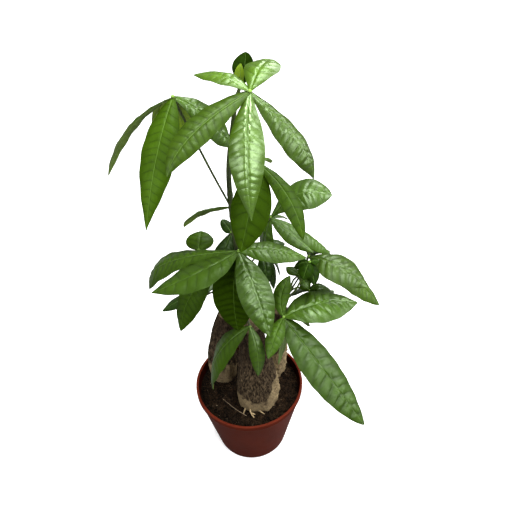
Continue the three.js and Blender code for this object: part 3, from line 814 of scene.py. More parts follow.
def skin_material(name, old, young, low, high):
    """Streaky skin that turns from the old colour to the young one between two heights in metres."""
    nodes = Surface(name)
    place = nodes.object_place()
    streaks = nodes.noise(place, 900, stretch=(1, 1, 0.12))
    blotch, grain = nodes.mottle(place, large=120, small=1100)
    height = nodes.plus(nodes.part(place, "Z"), nodes.times(blotch, 0.03))
    base = nodes.mix(nodes.span(height, low, high), old, young)
    streaked = nodes.mix(nodes.span(streaks, 0.35, 0.7), base, scaled(old, 0.5))
    colour = nodes.mix(nodes.span(grain, 0.6, 0.8), streaked, scaled(young, 1.8))
    rough = nodes.spread(streaks, 0.45, 0.6)
    return nodes.finish(streaks, strength=0.5, distance=0.0003, Base_Color=colour, Roughness=rough)


def knot_centre(looks):
    return np.array([*KNOT_PLACE, looks.knot_height])


def bark_material(looks):
    """Grey-brown fissured bark, darker and redder higher up, over a pale corky foot."""
    nodes = Surface("trunk_bark")
    place = nodes.object_place()
    across, height = nodes.part(place, "X"), nodes.part(place, "Z")
    blotch, grain = nodes.mottle(place, large=90, small=700)
    plates = nodes.noise(place, 330, detail=3, roughness=0.6, stretch=(1, 1, 0.28))
    fine = nodes.noise(place, 720, detail=4, roughness=0.6, stretch=(1, 1, 0.26))
    rings = nodes.noise(place, 380, detail=3, stretch=(0.25, 0.25, 1))
    crack = nodes.near_half(plates, 0.05)

    bark = nodes.mix(nodes.span(fine, 0.38, 0.62), looks.bark_dark, looks.bark_light)
    pale = nodes.times(nodes.span(fine, 0.6, 0.7), nodes.span(plates, 0.5, 0.6))
    bark = nodes.mix(pale, bark, scaled(looks.bark_light, 2.1))
    bark = nodes.mix(nodes.times(crack, 0.75), bark, scaled(looks.bark_dark, 0.5))
    red, green, blue = scaled(looks.bark_dark, 2)
    bark = nodes.mix(nodes.span(height, 0.13, 0.19, 0.0, 0.6), bark, (red, green, 1.2 * blue))

    face = nodes.shades(nodes.span(grain, 0.3, 0.6), looks.foot, 0.6, 1.0)
    foot = nodes.mix(nodes.times(nodes.near_half(rings, 0.035), 0.5), face, scaled(looks.foot, 0.25))

    # The foot's edge wanders, and it climbs towards the right and half as much on the far left.
    line, climb = looks.foot_top * MM, looks.foot_climb * MM
    right = nodes.span(across, 0.018, 0.03, 0.0, climb)
    left = nodes.span(across, -0.02, -0.01, 0.5 * climb, 0.0)
    wander = nodes.times(nodes.minus(blotch, 0.5), 0.04)
    level = nodes.minus(nodes.plus(height, wander), nodes.plus(right, left))
    colour = nodes.mix(nodes.span(level, line - 0.003, line + 0.004, 1.0, 0.0), bark, foot)
    shade = nodes.span(blotch, 0.35, 0.65, 0.0, 0.25)
    colour = nodes.mix(shade, colour, looks.bark_dark)

    knot = nodes.add("ShaderNodeVectorMath", {"operation": "DISTANCE"})
    nodes.feed(knot.inputs[0], place)
    nodes.feed(knot.inputs[1], Vector(knot_centre(looks)) * MM)
    eye = nodes.span(knot.outputs["Value"], 0.0012, 0.0026, 0.85, 0.0)
    return nodes.finish(
        nodes.minus(nodes.plus(fine, plates), nodes.times(crack, 0.6)),
        strength=0.85,
        distance=0.0014,
        Base_Color=nodes.mix(eye, colour, scaled(looks.bark_dark, 0.4)),
        Roughness=nodes.spread(fine, 0.95, 0.8),
        Specular_IOR_Level=0.1,
    )


def matte_material(name, colour, large, small=900, roughness=0.9, relief=0.0006):
    """A matte natural surface of one colour with blotches and grain."""
    nodes = Surface(name)
    blotch, grain = nodes.mottle(nodes.object_place(), large, small)
    base = nodes.shades(nodes.span(blotch, 0.35, 0.65), colour, 0.5, 1.3)
    return nodes.finish(
        grain,
        strength=0.7,
        distance=relief,
        Base_Color=nodes.mix(nodes.span(grain, 0.5, 0.75), base, scaled(colour, 1.9)),
        Roughness=nodes.spread(grain, roughness, roughness - 0.1),
        Specular_IOR_Level=0.1,
    )


def soil_material(looks):
    """Moist peat: near black in the hollows, brown on the lumps, and painted lighter on the right and
    darker on the left as light and shade.
    """
    nodes = Surface("soil_peat")
    place = nodes.object_place()
    blotch, grain = nodes.mottle(place, large=140, small=900)
    threads = nodes.noise(place, 1500, detail=3, roughness=0.7, stretch=(0.35, 1, 1))
    # Painted light and shade: the crumbs' colour is painted lighter towards the right and darker
    # towards the left.
    painted_side_light = nodes.span(nodes.part(place, "X"), -0.03, 0.035)
    crumbs = nodes.shades(painted_side_light, looks.light, 0.55, 1.8)
    base = nodes.mix(nodes.span(blotch, 0.35, 0.7), looks.dark, crumbs)
    grained = nodes.mix(nodes.span(grain, 0.35, 0.6), looks.dark, base)
    light = nodes.times(nodes.span(threads, 0.62, 0.75), 0.5)
    return nodes.finish(
        grain,
        strength=0.9,
        distance=0.0015,
        Base_Color=nodes.mix(light, grained, looks.fibre),
        Roughness=nodes.spread(grain, 0.95, 0.75),
        Specular_IOR_Level=0.08,
    )


def plastic_material(name, colour, roughness, scuffs):
    """Moulded pot plastic with a faint grain, soft blotches and fine scuffs."""
    nodes = Surface(name)
    place = nodes.object_place()
    blotch, grain = nodes.mottle(place, large=30, small=2200)
    lines = nodes.noise(place, 260, stretch=(1, 1, 0.06))
    base = nodes.shades(nodes.spread(blotch), colour, 0.88, 1.12)
    worn = nodes.times(nodes.span(lines, 0.6, 0.8), scuffs)
    uneven = nodes.plus(grain, worn)
    return nodes.finish(
        grain,
        strength=0.12,
        distance=0.0001,
        Base_Color=nodes.mix(worn, base, scaled(colour, 1.8)),
        Roughness=nodes.span(uneven, 0.3, 0.8, roughness, roughness + 0.14),
        Specular_IOR_Level=0.03,
    )


# Geometry trees


def new_shape_tree(name, inputs):
    """A geometry group with the given named inputs, one geometry in and one out."""
    shape = {"Geometry": "Geometry"}
    return new_tree("GeometryNodeTree", name, {**shape, **inputs}, shape)


def shaped(piece, tree, values):
    """Runs a geometry tree on a piece and keeps the result as its plain mesh."""
    modifier = piece.modifiers.new(tree.name, "NODES")
    modifier.node_group = tree
    for item in tree.interface.items_tree:
        if item.in_out == "INPUT" and item.name in values:
            modifier[item.identifier] = values[item.name]
    depsgraph = bpy.context.evaluated_depsgraph_get()
    mesh = bpy.data.meshes.new_from_object(
        piece.evaluated_get(depsgraph), preserve_all_data_layers=True, depsgraph=depsgraph
    )
    piece.modifiers.clear()
    plain = piece.data
    piece.data = mesh
    bpy.data.meshes.remove(plain)
    mesh.name = piece.name


def drain_tree():
    """Cuts a ring of round holes through the pot's floor."""
    inputs = {"Count": "Int", "Ring": "Float", "Radius": "Float", "Depth": "Float"}
    nodes, given, made = new_shape_tree("pot_drains", inputs)
    ring = nodes.add("GeometryNodeMeshCircle", Vertices=given["Count"], Radius=given["Ring"])
    size = {"Radius": given["Radius"], "Depth": given["Depth"]}
    punch = nodes.add("GeometryNodeMeshCylinder", Vertices=24, **size)
    places, shape = ring.outputs["Mesh"], punch.outputs["Mesh"]
    punches = nodes.add("GeometryNodeInstanceOnPoints", Points=places, Instance=shape)
    solid = nodes.add("GeometryNodeRealizeInstances", Geometry=punches.outputs["Instances"])
    cut = nodes.add("GeometryNodeMeshBoolean", {"operation": "DIFFERENCE"})
    nodes.set(cut, Mesh_1=given["Geometry"], Mesh_2=solid.outputs["Geometry"])
    nodes.set(made, Geometry=cut.outputs["Mesh"])
    return nodes.tree


def scatter_tree(kinds):
    """Strews each kind of shape over the open soil."""
    inputs = {"Seed": "Int"}
    for kind in kinds:
        inputs.update({kind: "Object", kind + " Density": "Float", kind + " Finish": "Material"})
    nodes, given, made = new_shape_tree("soil_scatter", inputs)
    vectors = {"data_type": "FLOAT_VECTOR"}
    joined = nodes.add("GeometryNodeJoinGeometry", Geometry=given["Geometry"])
    opening = nodes.add("GeometryNodeInputNamedAttribute", Name="open").outputs["Attribute"]
    # Each kind draws its own random numbers.
    for k, kind in enumerate(kinds):
        points = nodes.add(
            "GeometryNodeDistributePointsOnFaces",
            Mesh=given["Geometry"],
            Density=nodes.times(given[kind + " Density"], opening),
            Seed=nodes.plus(given["Seed"], float(31 * k)),
        )
        shape = nodes.add("GeometryNodeObjectInfo", Object=given[kind])
        # Fibres lie nearly flat, and the rest lies any way up.
        lying = 0.5 if kind == "Fibre" else math.pi
        low, high = (-lying, -lying, 0.0), (lying, lying, 2 * math.pi)
        turn = nodes.add("FunctionNodeRandomValue", vectors, Min=low, Max=high, Seed=k + 3)
        turned = nodes.add("FunctionNodeEulerToRotation", Euler=turn.outputs["Value"])
        low, high = (0.35, 0.35, 0.3), (1.3, 1.1, 0.9)
        sizes = nodes.add("FunctionNodeRandomValue", vectors, Min=low, Max=high, Seed=k + 11)
        spread = nodes.add(
            "GeometryNodeInstanceOnPoints",
            Points=points.outputs["Points"],
            Instance=shape.outputs["Geometry"],
            Rotation=turned.outputs["Rotation"],
            Scale=sizes.outputs["Value"],
        )
        real = nodes.add("GeometryNodeRealizeInstances", Geometry=spread.outputs["Instances"])
        finish = nodes.add("GeometryNodeSetMaterial", Material=given[kind + " Finish"])
        nodes.set(finish, Geometry=real.outputs["Geometry"])
        nodes.set(joined, Geometry=finish.outputs["Geometry"])
    nodes.set(made, Geometry=joined.outputs["Geometry"])
    return nodes.tree


# Pieces

# Points round the pot, round the soil and round a trunk.
POT_SEGMENTS = 160
SOIL_SEGMENTS = 150
TRUNK_SEGMENTS = 132


def turned_skin(profile, segments):
    """A closed round skin from its (radius, height) profile, which starts and ends on the axis."""
    circle = unit_circle(segments)
    skin = Skin()
    rings = [circle * radius + UP * height for radius, height in profile[1:-1]]
    skin.grid(np.array(rings), around=True, caps=True)
    return skin


def rounded(corners, steps):
    """A profile whose corners (radius, height, rounding) are turned into short arcs."""
    profile = []
    for k, (radius, height, rounding) in enumerate(corners):
        corner = np.array([radius, height], float)
        if rounding == 0:
            profile.append(tuple(corner))
            continue
        before, after = (normalised(np.array(corners[j][:2]) - corner) for j in (k - 1, k + 1))
        start, end = corner + before * rounding, corner + after * rounding
        for t in np.linspace(0, 1, steps + 1):
            profile.append(tuple(start * (1 - t) ** 2 + corner * 2 * t * (1 - t) + end * t**2))
    return profile


def make_pot(sizes):
    neck = sizes.rim_radius - sizes.lip_width
    ledge = sizes.height - sizes.lip_height
    base, heel = sizes.base_radius, sizes.heel_radius
    # A bevel this wide lifts the edge of the base by this much.
    bevel, lift = 1.5, 0.25
    corners = [
        (0, 0, 0),
        (base - heel - bevel, 0, 0.6),
        (base - heel, lift, 0.3),
        (base + lift, lift, 3.6),
        (neck, ledge, 0.3),
        (sizes.rim_radius, ledge, sizes.lip_rounding),
        (sizes.rim_radius, sizes.height, sizes.lip_rounding),
        (neck - sizes.wall, sizes.height, sizes.lip_rounding),
        (base - sizes.wall, heel, 1.5),
        (base - sizes.wall - sizes.inside_heel, sizes.floor, 1),
        (0, sizes.floor, 0),
    ]
    profile = [(radius, max(height, 0.0)) for radius, height in rounded(corners, 5)]
    materials = [
        plastic_material("pot_plastic", sizes.colour, roughness=0.42, scuffs=0.12),
        # A painted highlight: the lighter plastic of the band along the rim's top.
        plastic_material("pot_line", sizes.highlight_colour, roughness=0.35, scuffs=0.05),
        # Painted shade: the much darker plastic of the inner wall.
        plastic_material("pot_inside", scaled(sizes.colour, 0.2), roughness=0.6, scuffs=0.2),
    ]
    sharp = 40
    pot = turned_skin(profile, POT_SEGMENTS).build("pot", materials, sharp)
    drains = {
        "Count": sizes.drain_count,
        "Ring": sizes.drain_ring * MM,
        "Radius": sizes.drain_radius * MM,
        "Depth": 4 * sizes.floor * MM,
    }
    shaped(pot, drain_tree(), drains)
    # Cutting the holes drops the materials that no face has yet.
    for material in materials:
        if material.name not in pot.data.materials:
            pot.data.materials.append(material)
    line, inside = 1, 2
    for polygon in pot.data.polygons:
        inward = polygon.normal.x * polygon.center.x + polygon.normal.y * polygon.center.y < 0
        # The top of the rim takes the painted highlight.
        if polygon.center.z > (sizes.height - sizes.highlight_band) * MM:
            polygon.material_index = line
        # The inner wall above the floor takes the painted shade.
        elif inward and polygon.center.z > sizes.floor * MM:
            polygon.material_index = inside
    pot.data.set_sharp_from_angle(angle=math.radians(sharp))
    hand_over(pot, "pot")


def inside_radius(pot, height):
    """The inside radius of the pot's wall at a height above the heel."""
    share = (height - pot.heel_radius) / (pot.height - pot.lip_height - pot.heel_radius)
    low = pot.base_radius - pot.wall
    return low + (pot.rim_radius - pot.lip_width - pot.wall - low) * share


def crumb_skin(radii, seed):
    """A small uneven lump: an icosahedron with its corners pushed in and out."""
    golden = (1 + 5**0.5) / 2
    corners = []
    for a in (-1, 1):
        for b in (-golden, golden):
            corners += [(0, a, b), (a, b, 0), (b, 0, a)]
    corners = normalised(np.array(corners, float))
    longest_side = 1.2
    faces = []
    for i in range(12):
        for j in range(i + 1, 12):
            for k in range(j + 1, 12):
                trio = corners[[i, j, k]]
                if np.linalg.norm(trio - np.roll(trio, 1, axis=0), axis=1).max() < longest_side:
                    outward = np.cross(trio[1] - trio[0], trio[2] - trio[0]) @ trio.sum(0)
                    faces.append((i, j, k) if outward > 0 else (i, k, j))
    lumps = 1 + 0.28 * np.sin(corners @ np.array([7.1, 3.7, 5.3]) + seed)
    skin = Skin()
    skin.add(corners * lumps[:, None] * np.array(radii), faces)
    return skin


def fibre_skin():
    """A thin bent fibre."""
    t = np.linspace(-1, 1, 6)
    path = np.stack([3.4 * t, 0.9 * np.sin(2.1 * t), 0.5 * t**2], 1)
    skin = Skin()
    skin.bar(path, 0.13 * (1.2 - t**2), sides=3)
    return skin


def soil_heights(ring, share, sizes):
    """Heights of a ring of the soil's top, domed and lumpy and bevelled at the wall."""
    lumps = roughened(ring, size=9, octaves=4, seed=3) * sizes.lumps
    lumps += roughened(ring, size=2.8, octaves=3, seed=8) * 0.6 * sizes.lumps
    bevel = 0.6 * sizes.edge * ramp(share, 0.93, 1.0) ** 2
    return sizes.top + sizes.crown * (1 - share) - bevel + lumps * (1 - 0.6 * share**6)


def soil_skin(sizes, pot, radius):
    """The soil from its floor up the wall and over its top in to the middle."""
    circle = unit_circle(SOIL_SEGMENTS)
    low = inside_radius(pot, pot.heel_radius) - sizes.gap
    wall = [
        (low - pot.inside_heel, pot.floor + sizes.gap),
        (low, pot.heel_radius + sizes.gap),
        (radius - 0.2, sizes.top - sizes.edge),
    ]
    rings = [circle * reach + UP * height for reach, height in wall]
    # The rings of the top stand a little closer together towards the wall.
    for share in np.linspace(0.012, 1, 46)[::-1] ** 0.8:
        ring = circle * radius * share
        rings.append(ring + UP * soil_heights(ring, share, sizes)[:, None])
    skin = Skin()
    skin.grid(np.array(rings), around=True, caps=True)
    return skin


def make_soil(sizes, pot):
    radius = inside_radius(pot, sizes.top) - sizes.gap
    skin = soil_skin(sizes, pot, radius)
    soil = skin.build("soil", [soil_material(sizes)], sharp=80)
    # Crumbs lie on the top alone, and clear of the wall.
    wall_clearance, deepest_hollow = 3.2, 4
    across, over, height = np.array(skin.points).T
    open_top = np.hypot(across, over) < radius - wall_clearance
    open_top &= height > sizes.top - deepest_hollow
    opening = soil.data.attributes.new("open", "FLOAT", "POINT")
    opening.data.foreach_set("value", open_top.astype(np.float32))
    light = sizes.light
    # Each kind's shape, its number on a square metre, its colour and the fineness of its blotches.
    kinds = {
        "Clump": (crumb_skin((2.3, 1.9, 1.3), 2), sizes.clump_density, scaled(light, 0.5), 160),
        "Crumb": (crumb_skin((0.95, 0.8, 0.6), 1), sizes.crumb_density, scaled(light, 0.8), 160),
        "Fibre": (fibre_skin(), sizes.fibre_density, sizes.fibre, 120),
        "Chip": (crumb_skin((1.1, 0.6, 0.3), 4), sizes.chip_density, sizes.chip, 120),
    }
    values = {"Seed": sizes.seed}
    for kind, (skin, density, colour, blotches) in kinds.items():
        name = "soil_" + kind.lower()
        values[kind] = skin.build(name, [])
        values[kind + " Density"] = density
        values[kind + " Finish"] = matte_material(name + "s", colour, blotches)
        bpy.context.scene.collection.objects.unlink(values[kind])
    shaped(soil, scatter_tree(kinds), values)
    for kind in kinds:
        bpy.data.objects.remove(values[kind])
    hand_over(soil, "soil")


def make_straw(sizes):
    """The dry stalk that lies on the soil."""
    skin = Skin()
    skin.bar(smooth_path(STRAW, 24), np.linspace(0.22, 0.34, 24), sides=6)
    straw = skin.build("straw", [matte_material("straw_skin", sizes.chip, large=120)])
    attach(straw, "root")


def bark_relief(points, looks, seed):
    """How far each point of a trunk stands out: cracks, a corky foot, nodules and one knot."""
    across, _, height = points.T
    foot = ramp(height, looks.foot_top + 4, looks.foot_top - 6)
    # Nodules grow on the right side of the front trunk, and on most of the right one.
    right = ramp(across, 16, 24) * ramp(height, 148, 134)
    fissures = roughened(points * np.array([1, 1, 0.2]), size=1.9, octaves=4, seed=seed)
    cork = roughened(points, size=3.4, octaves=4, seed=seed + 5)
    nodules = np.clip(roughened(points, size=4.6, octaves=2, seed=seed + 8) + 0.1, 0, 1)
    relief = looks.fissure * fissures * (1 - 0.6 * foot) + looks.cork * cork * (0.3 + 0.3 * foot)
    relief = relief + looks.nodules * 2 * nodules * right
    knot_bulge, knot_width = 1.1, 2.6
    away = np.linalg.norm(points - knot_centre(looks), axis=1)
    return relief + knot_bulge * np.exp(-((away / knot_width) ** 2))


def trunk_rings(sections, looks, seed):
    """A trunk's wall: ridged and knotted sections with bark, rounded over at the cut top."""
    table = [(z, x, y, r) for x, y, z, r in sections]
    foot, top = table[0][0], table[-1][0]
    # Rows this far apart end below the cut, where three more draw in its edge.
    step, below_cut, drawn_in = 1.15, (1.2, 0.5, 0.12), (0.25, 0.7, 1.5)
    levels = np.arange(foot, top - 1.6, step)
    shrink = np.append(0 * levels, drawn_in)
    levels = np.append(levels, top - np.array(below_cut))
    middle = eased(table, levels)
    rows = np.interp(levels, [row[0] for row in table], np.arange(len(table)))[:, None]
    angles = angles_round(TRUNK_SEGMENTS)
    ridge = looks.ridge_depth * np.sin(looks.ridges * angles + RIDGE_TURN * rows)
    knot = looks.knot_depth * np.sin(looks.knots * angles + KNOT_TURN * rows)
    reach = middle[:, 2:3] * (1 + ridge + knot) - shrink[:, None]
    outward = unit_circle(TRUNK_SEGMENTS)
    centres = np.stack([middle[:, 0], middle[:, 1], levels], 1)[:, None, :]
    rings = centres + reach[:, :, None] * outward
    points = rings.reshape(-1, 3)
    # The relief is calm near the cut.
    relief = bark_relief(points, looks, seed) * np.clip((top - points[:, 2]) / 3, 0.15, 1)
    return rings + relief.reshape(*reach.shape, 1) * outward


def make_trunk(name, sections, looks, materials, seed):
    """A trunk of bark, with a plate of cut wood on top and roots on the front one."""
    rings = trunk_rings(sections, looks, seed)
    skin = Skin()
    skin.grid(rings, around=True)
    centre = rings[0].mean(0)
    skin.grid(np.stack([centre + (rings[0] - centre) * share for share in (0.02, 1)]), around=True)
    centre = rings[-1].mean(0)
    plate = np.stack([centre + (rings[-1] - centre) * share for share in (1, 0.85, 0.6, 0.35, 0.02)])
    waves = 0.25 * np.sin(3 * angles_round(TRUNK_SEGMENTS) + seed)
    plate[1:, :, 2] += waves * np.array([0.3, 1, 0.8, 0.1])[:, None]
    skin.grid(plate, around=True, slot=1)
    if name == "trunk_front":
        # Roots taper and are a little knobbly.
        for k, root in enumerate(ROOTS):
            t = np.linspace(0, 1, 16)
            radii = (0.85 - 0.35 * t) * (1 + 0.18 * np.sin(9 * t + 2 * k))
            skin.bar(smooth_path(root, 16), radii, sides=9, slot=2)
    trunk = skin.build(name, materials)
    seal(trunk.data)
    hand_over(trunk, name)


def seal(mesh):
    """Merges doubled points and fills the small holes left at the poles."""
    shape = bmesh.new()
    shape.from_mesh(mesh)
    bmesh.ops.remove_doubles(shape, verts=shape.verts, dist=1e-6)
    open_edges = [edge for edge in shape.edges if edge.is_boundary]
    bmesh.ops.holes_fill(shape, edges=open_edges, sides=0)
    shape.to_mesh(mesh)
    shape.free()


def make_shoot(name, shoot, joints, looks, material):
    """A tapering shoot that swells where leaves join it and is rounded at its end."""
    path = smooth_path(shoot["path"], 120 if name == "shoot_tall" else 48)
    swelling_length, end_length = 2.2, 2.5
    foot, end = shoot["radii"]
    radii = foot + (end - foot) * np.linspace(0, 1, len(path))
    for joint in joints:
        gap = np.linalg.norm(path - np.array(joint, float), axis=1)
        radii = radii + looks.node_swelling * np.exp(-((gap / swelling_length) ** 2))
    left = np.linalg.norm(path[-1] - path, axis=1)
    skin = Skin()
    skin.bar(path, radii * np.sqrt(np.clip(left / end_length, 0.06, 1)), sides=20)
    piece = skin.build(name, [material])
    hand_over(piece, name)


# Leaves

# Points across a blade, and the fewest along it.
BLADE_COLUMNS = 23
FEWEST_ROWS = 22
# Half widths of the groove over the rib and of the rib below.
GROOVE_WIDTH = 0.55
RIB_WIDTH = 0.75
# The materials of a leaf in the order of its slots.
FACE, UNDERSIDE, STALK, HUB, BACKLIT = range(5)


def half_widths(row, looks, t):
    """A leaflet's half width at each share of its rib, from the hub to the tip."""
    rise = (t / row.peak) ** (row.taper * row.peak)
    fall = ((1 - t) / (1 - row.peak)) ** (row.taper * (1 - row.peak))
    return row.width / 2 * rise * fall + looks.stem + (looks.tip - looks.stem) * t


def leaflet_rib(hub, row, looks):
    """Shares and points along a leaflet's rib, and the ways across the blade and out of it."""
    tip = np.array(row.tip, float)
    chord = tip - hub
    length = np.linalg.norm(chord)
    along = chord / length
    normal = normalised(UP - along * along[2])
    side = np.cross(along, normal)
    control = hub + chord * row.lean + normal * 2 * row.arch + side * 2 * row.sway
    t = np.linspace(0, 1, max(FEWEST_ROWS, int(length / looks.step)))
    turn = t[:, None]
    centre = hub * (1 - turn) ** 2 + control * 2 * turn * (1 - turn) + tip * turn**2
    ahead = normalised((control - hub) * (1 - turn) + (tip - control) * turn)
    turned = turned_about(normal, along, np.radians(row.roll + row.twist * t))
    across = normalised(np.cross(ahead, turned))
    return t, centre, across, np.cross(across, ahead)


def vein_phase(row, looks, far, off, seed):
    """Side veins counted from the hub at each point. They wander, and the two sides are staggered."""
    away = np.abs(off)
    mark = np.sign(off)
    wander = 0.16 * np.sin(far / 11 + seed) + 0.12 * np.sin(far / 4.7 + 2 * seed + 2 * mark)
    stagger = 0.23 * np.tanh(off / 0.7)
    above_zero = 40
    straight = (far - looks.vein_slope * away - looks.vein_bend * away**2) / row.spacing
    return straight + wander + stagger + above_zero


def blade_relief(row, looks, turn, far, off, place, half, phase, seed):
    """How far each point of a blade rises from its flat sheet: swellings, waves and hanging margins."""
    away = np.abs(off)
    flat = np.stack(np.broadcast_arrays(far, off, 9 * seed), -1).reshape(-1, 3)
    swells = roughened(flat, size=7, octaves=3, seed=seed).reshape(off.shape)
    drawn_out = flat * np.array([1, 0.5, 1])
    creases = roughened(drawn_out, size=2.2, octaves=2, seed=seed + 3).reshape(off.shape)
    # The relief fades where the blade is narrow, near its ends, at its rib and at its margins.
    narrow, clear_of_rib = 9, 2.2
    broad = ramp(half, 0, narrow) * ramp(turn, 0, 0.12) * ramp(turn, 1, 0.9)
    inner = ramp(away, 0, clear_of_rib) * (1 - np.abs(place) ** 3)
    dome = np.abs(np.sin(np.pi * phase)) ** looks.dome
    lift = row.quilt * dome * (1 + 0.6 * swells) + 0.25 * swells + 0.1 * creases
    wave = np.sin(2 * np.pi * far / looks.ripple_length + seed + 1.4 * np.sign(off))
    ripple = looks.ripple * wave * np.abs(place) ** 3
    drop = row.cup * half * np.abs(place) ** looks.cup_power
    return (lift * inner + ripple) * broad - drop


def blade_faces(rows, columns, face, underside):
    """Faces and slots of a blade's upper grid of points, its lower grid and the rim between them."""
    below = rows * columns
    faces, slots = [], []
    for i in range(rows - 1):
        a, b = i * columns, (i + 1) * columns - 1
        for j in range(a, b):
            k = j + columns
            faces += [(j, j + 1, k + 1, k), (below + j, below + k, below + k + 1, below + j + 1)]
            slots += [face, underside]
        faces.append((a, a + columns, below + a + columns, below + a))
        faces.append((b, below + b, below + b + columns, b + columns))
        slots += [FACE, FACE]
    tail = (rows - 1) * columns
    for j in range(columns - 1):
        a = tail + j
        faces += [(j, below + j, below + j + 1, j + 1), (a, a + 1, below + a + 1, below + a)]
        slots += [FACE, FACE]
    return faces, slots


def add_leaflet(skin, hub, row, looks, seed):
    """One leaflet as a closed blade: quilted between its veins, grooved over its rib."""
    t, centre, across, facing = leaflet_rib(hub, row, looks)
    turn = t[:, None]
    # Columns stand closer together near the rib.
    spread = np.linspace(-1, 1, BLADE_COLUMNS)
    place = np.sign(spread) * (0.5 * np.abs(spread) + 0.5 * np.abs(spread) ** 1.8)
    half = half_widths(row, looks, t)[:, None]
    off = half * place
    far = lengths_along(centre)[:, None]
    phase = vein_phase(row, looks, far, off, seed)
    body = blade_relief(row, looks, turn, far, off, place, half, phase, seed)
    groove = looks.groove * np.exp(-((off / GROOVE_WIDTH) ** 2)) * (1 - 0.5 * turn)
    rib = (looks.rib_depth * (1 - turn) + 0.12) * np.exp(-((off / RIB_WIDTH) ** 2))
    depth = looks.thickness * (1 - 0.3 * place**4) + rib
    sheet = centre[:, None] + across[:, None] * off[..., None]
    heights = (body - groove, body - depth)
    face, underside = FACE, UNDERSIDE
    if row.backlit:
        face, underside = BACKLIT if row.tip[2] > hub[2] else FACE, BACKLIT
    faces, slots = blade_faces(*off.shape, face, underside)
    pattern = np.stack([off, phase, np.broadcast_to(turn, off.shape)], -1).reshape(-1, 3)
    skin.add(
        np.concatenate([sheet + facing[:, None] * height[..., None] for height in heights]),
        faces,
        slots,
        np.concatenate([pattern, pattern]),
        # The colour setting carries painted shade and painted light, plus a small random change of the
        # leaflet's own tone.
        tint=row.tint + 0.12 * math.sin(12.9 * seed),
        gloss=row.gloss,
        edge=np.tile(np.abs(place), 2 * len(t)),
    )


def make_leaf(name, leaf, shoots, blades, materials, seed):
    """A compound leaf: its stalk, the knob at the stalk's end and the leaflets round it."""
    skin = Skin()
    step, foot_length, neck_length = 1.6, 4.5, 4
    length = lengths_along(leaf.petiole)[-1]
    line = smooth_path(leaf.petiole, max(12, int(length / step)))
    far = np.linspace(0, length, len(line))
    foot = np.exp(-((far / foot_length) ** 2))
    neck = np.exp(-(((length - far) / neck_length) ** 2))
    radii = shoots.stalk_radius + (shoots.stalk_foot - shoots.stalk_radius) * foot + 0.5 * neck
    skin.bar(line, radii, slot=STALK)
    hub = line[-1]
    t = np.linspace(-1, 1, 9)
    knob = hub + normalised(hub - line[-2]) * t[:, None] * shoots.hub_radius * 1.1
    skin.bar(knob, shoots.hub_radius * np.sqrt(np.clip(1 - t**2, 0.03, 1)), slot=HUB)
    for k, row in enumerate(leaf.leaflets):
        add_leaflet(skin, hub, row, blades, seed + 1.7 * k)
    stalk = "fresh_stalk" if name.startswith("leaf_young") else "stalk"
    kinds = ("leaf_" + leaf.colour, "under", stalk, "hub", "backlit")
    piece = skin.build(name, [materials[kind] for kind in kinds])
    hand_over(piece, name)


# Stage


def put_in_scene(name, data, place):
    thing = bpy.data.objects.new(name, data)
    thing.matrix_world = place
    bpy.context.scene.collection.objects.link(thing)
    return thing


def make_camera(looks):
    lens = bpy.data.cameras.new("camera")
    lens.lens = looks.focal
    lens.sensor_width = 36
    lens.clip_start = 0.01
    ahead = Vector((0, math.cos(looks.pitch), -math.sin(looks.pitch)))
    right = Vector((1, 0, 0))
    over = right.cross(ahead)
    tilted = right * math.cos(looks.roll) + over * math.sin(looks.roll)
    upright = over * math.cos(looks.roll) - right * math.sin(looks.roll)
    turn = Matrix((tilted, upright, -ahead)).transposed().to_4x4()
    place = Matrix.Translation(Vector(looks.place) * MM) @ turn
    bpy.context.scene.camera = put_in_scene("camera", lens, place)


def make_floor(looks):
    """Paper that looks white and throws little light back up, as in a photo cut out on white."""
    mesh = bpy.data.meshes.new("floor")
    reach = 6.0
    corners = [(-reach, -reach, 0), (reach, -reach, 0), (reach, reach, 0), (-reach, reach, 0)]
    mesh.from_pydata(corners, [], [(0, 1, 2, 3)])
    nodes = Surface("floor_paper")
    seen = nodes.add("ShaderNodeLightPath").outputs["Is Camera Ray"]
    nodes.set(
        nodes.shader,
        Base_Color=nodes.mix(seen, scaled(looks.floor, looks.bounce), looks.floor),
        Roughness=0.9,
        Emission_Color=looks.floor,
        Emission_Strength=nodes.times(seen, looks.glow),
    )
    mesh.materials.append(nodes.material)
    just_under_pot = Matrix.Translation((0, 0, -0.0003))
    floor = put_in_scene("floor", mesh, just_under_pot)


def make_stage(looks):
    scene = bpy.context.scene
    scene.view_settings.view_transform = "Standard"
    make_camera(looks)
    make_floor(looks)
    world = bpy.data.worlds.new("even_light")
    world.use_nodes = True
    nodes = Nodes(world.node_tree)
    seen = nodes.add("ShaderNodeLightPath").outputs["Is Camera Ray"]
    strength = nodes.span(seen, 0.0, 1.0, looks.sky, 1.0)
    nodes.set(world.node_tree.nodes["Background"], Color=(1, 1, 1), Strength=strength)
    scene.world = world
    # Each softbox by its name, its place and size in metres, and its power.
    lamps = [
        ("top_softbox", (0.1, -0.1, 1.65), 0.8, looks.top),
        ("front_softbox", (0.7, -0.95, 1.05), 0.8, looks.front),
        ("left_softbox", (-0.9, -0.8, 0.95), 0.7, looks.left),
        ("side_softbox", (1.2, 0.15, 0.85), 0.8, looks.side),
        ("back_softbox", (0.55, 1.05, 1.25), 0.8, looks.back),
    ]
    plant_middle = Vector((0, 0, 0.25))
    for name, place, size, power in lamps:
        light = bpy.data.lights.new(name, "AREA")
        light.shape = "SQUARE"
        light.size = size
        light.energy = power
        facing = (plant_middle - Vector(place)).to_track_quat("-Z", "Y")
        put_in_scene(name, light, Matrix.Translation(place) @ facing.to_matrix().to_4x4())


# Operators


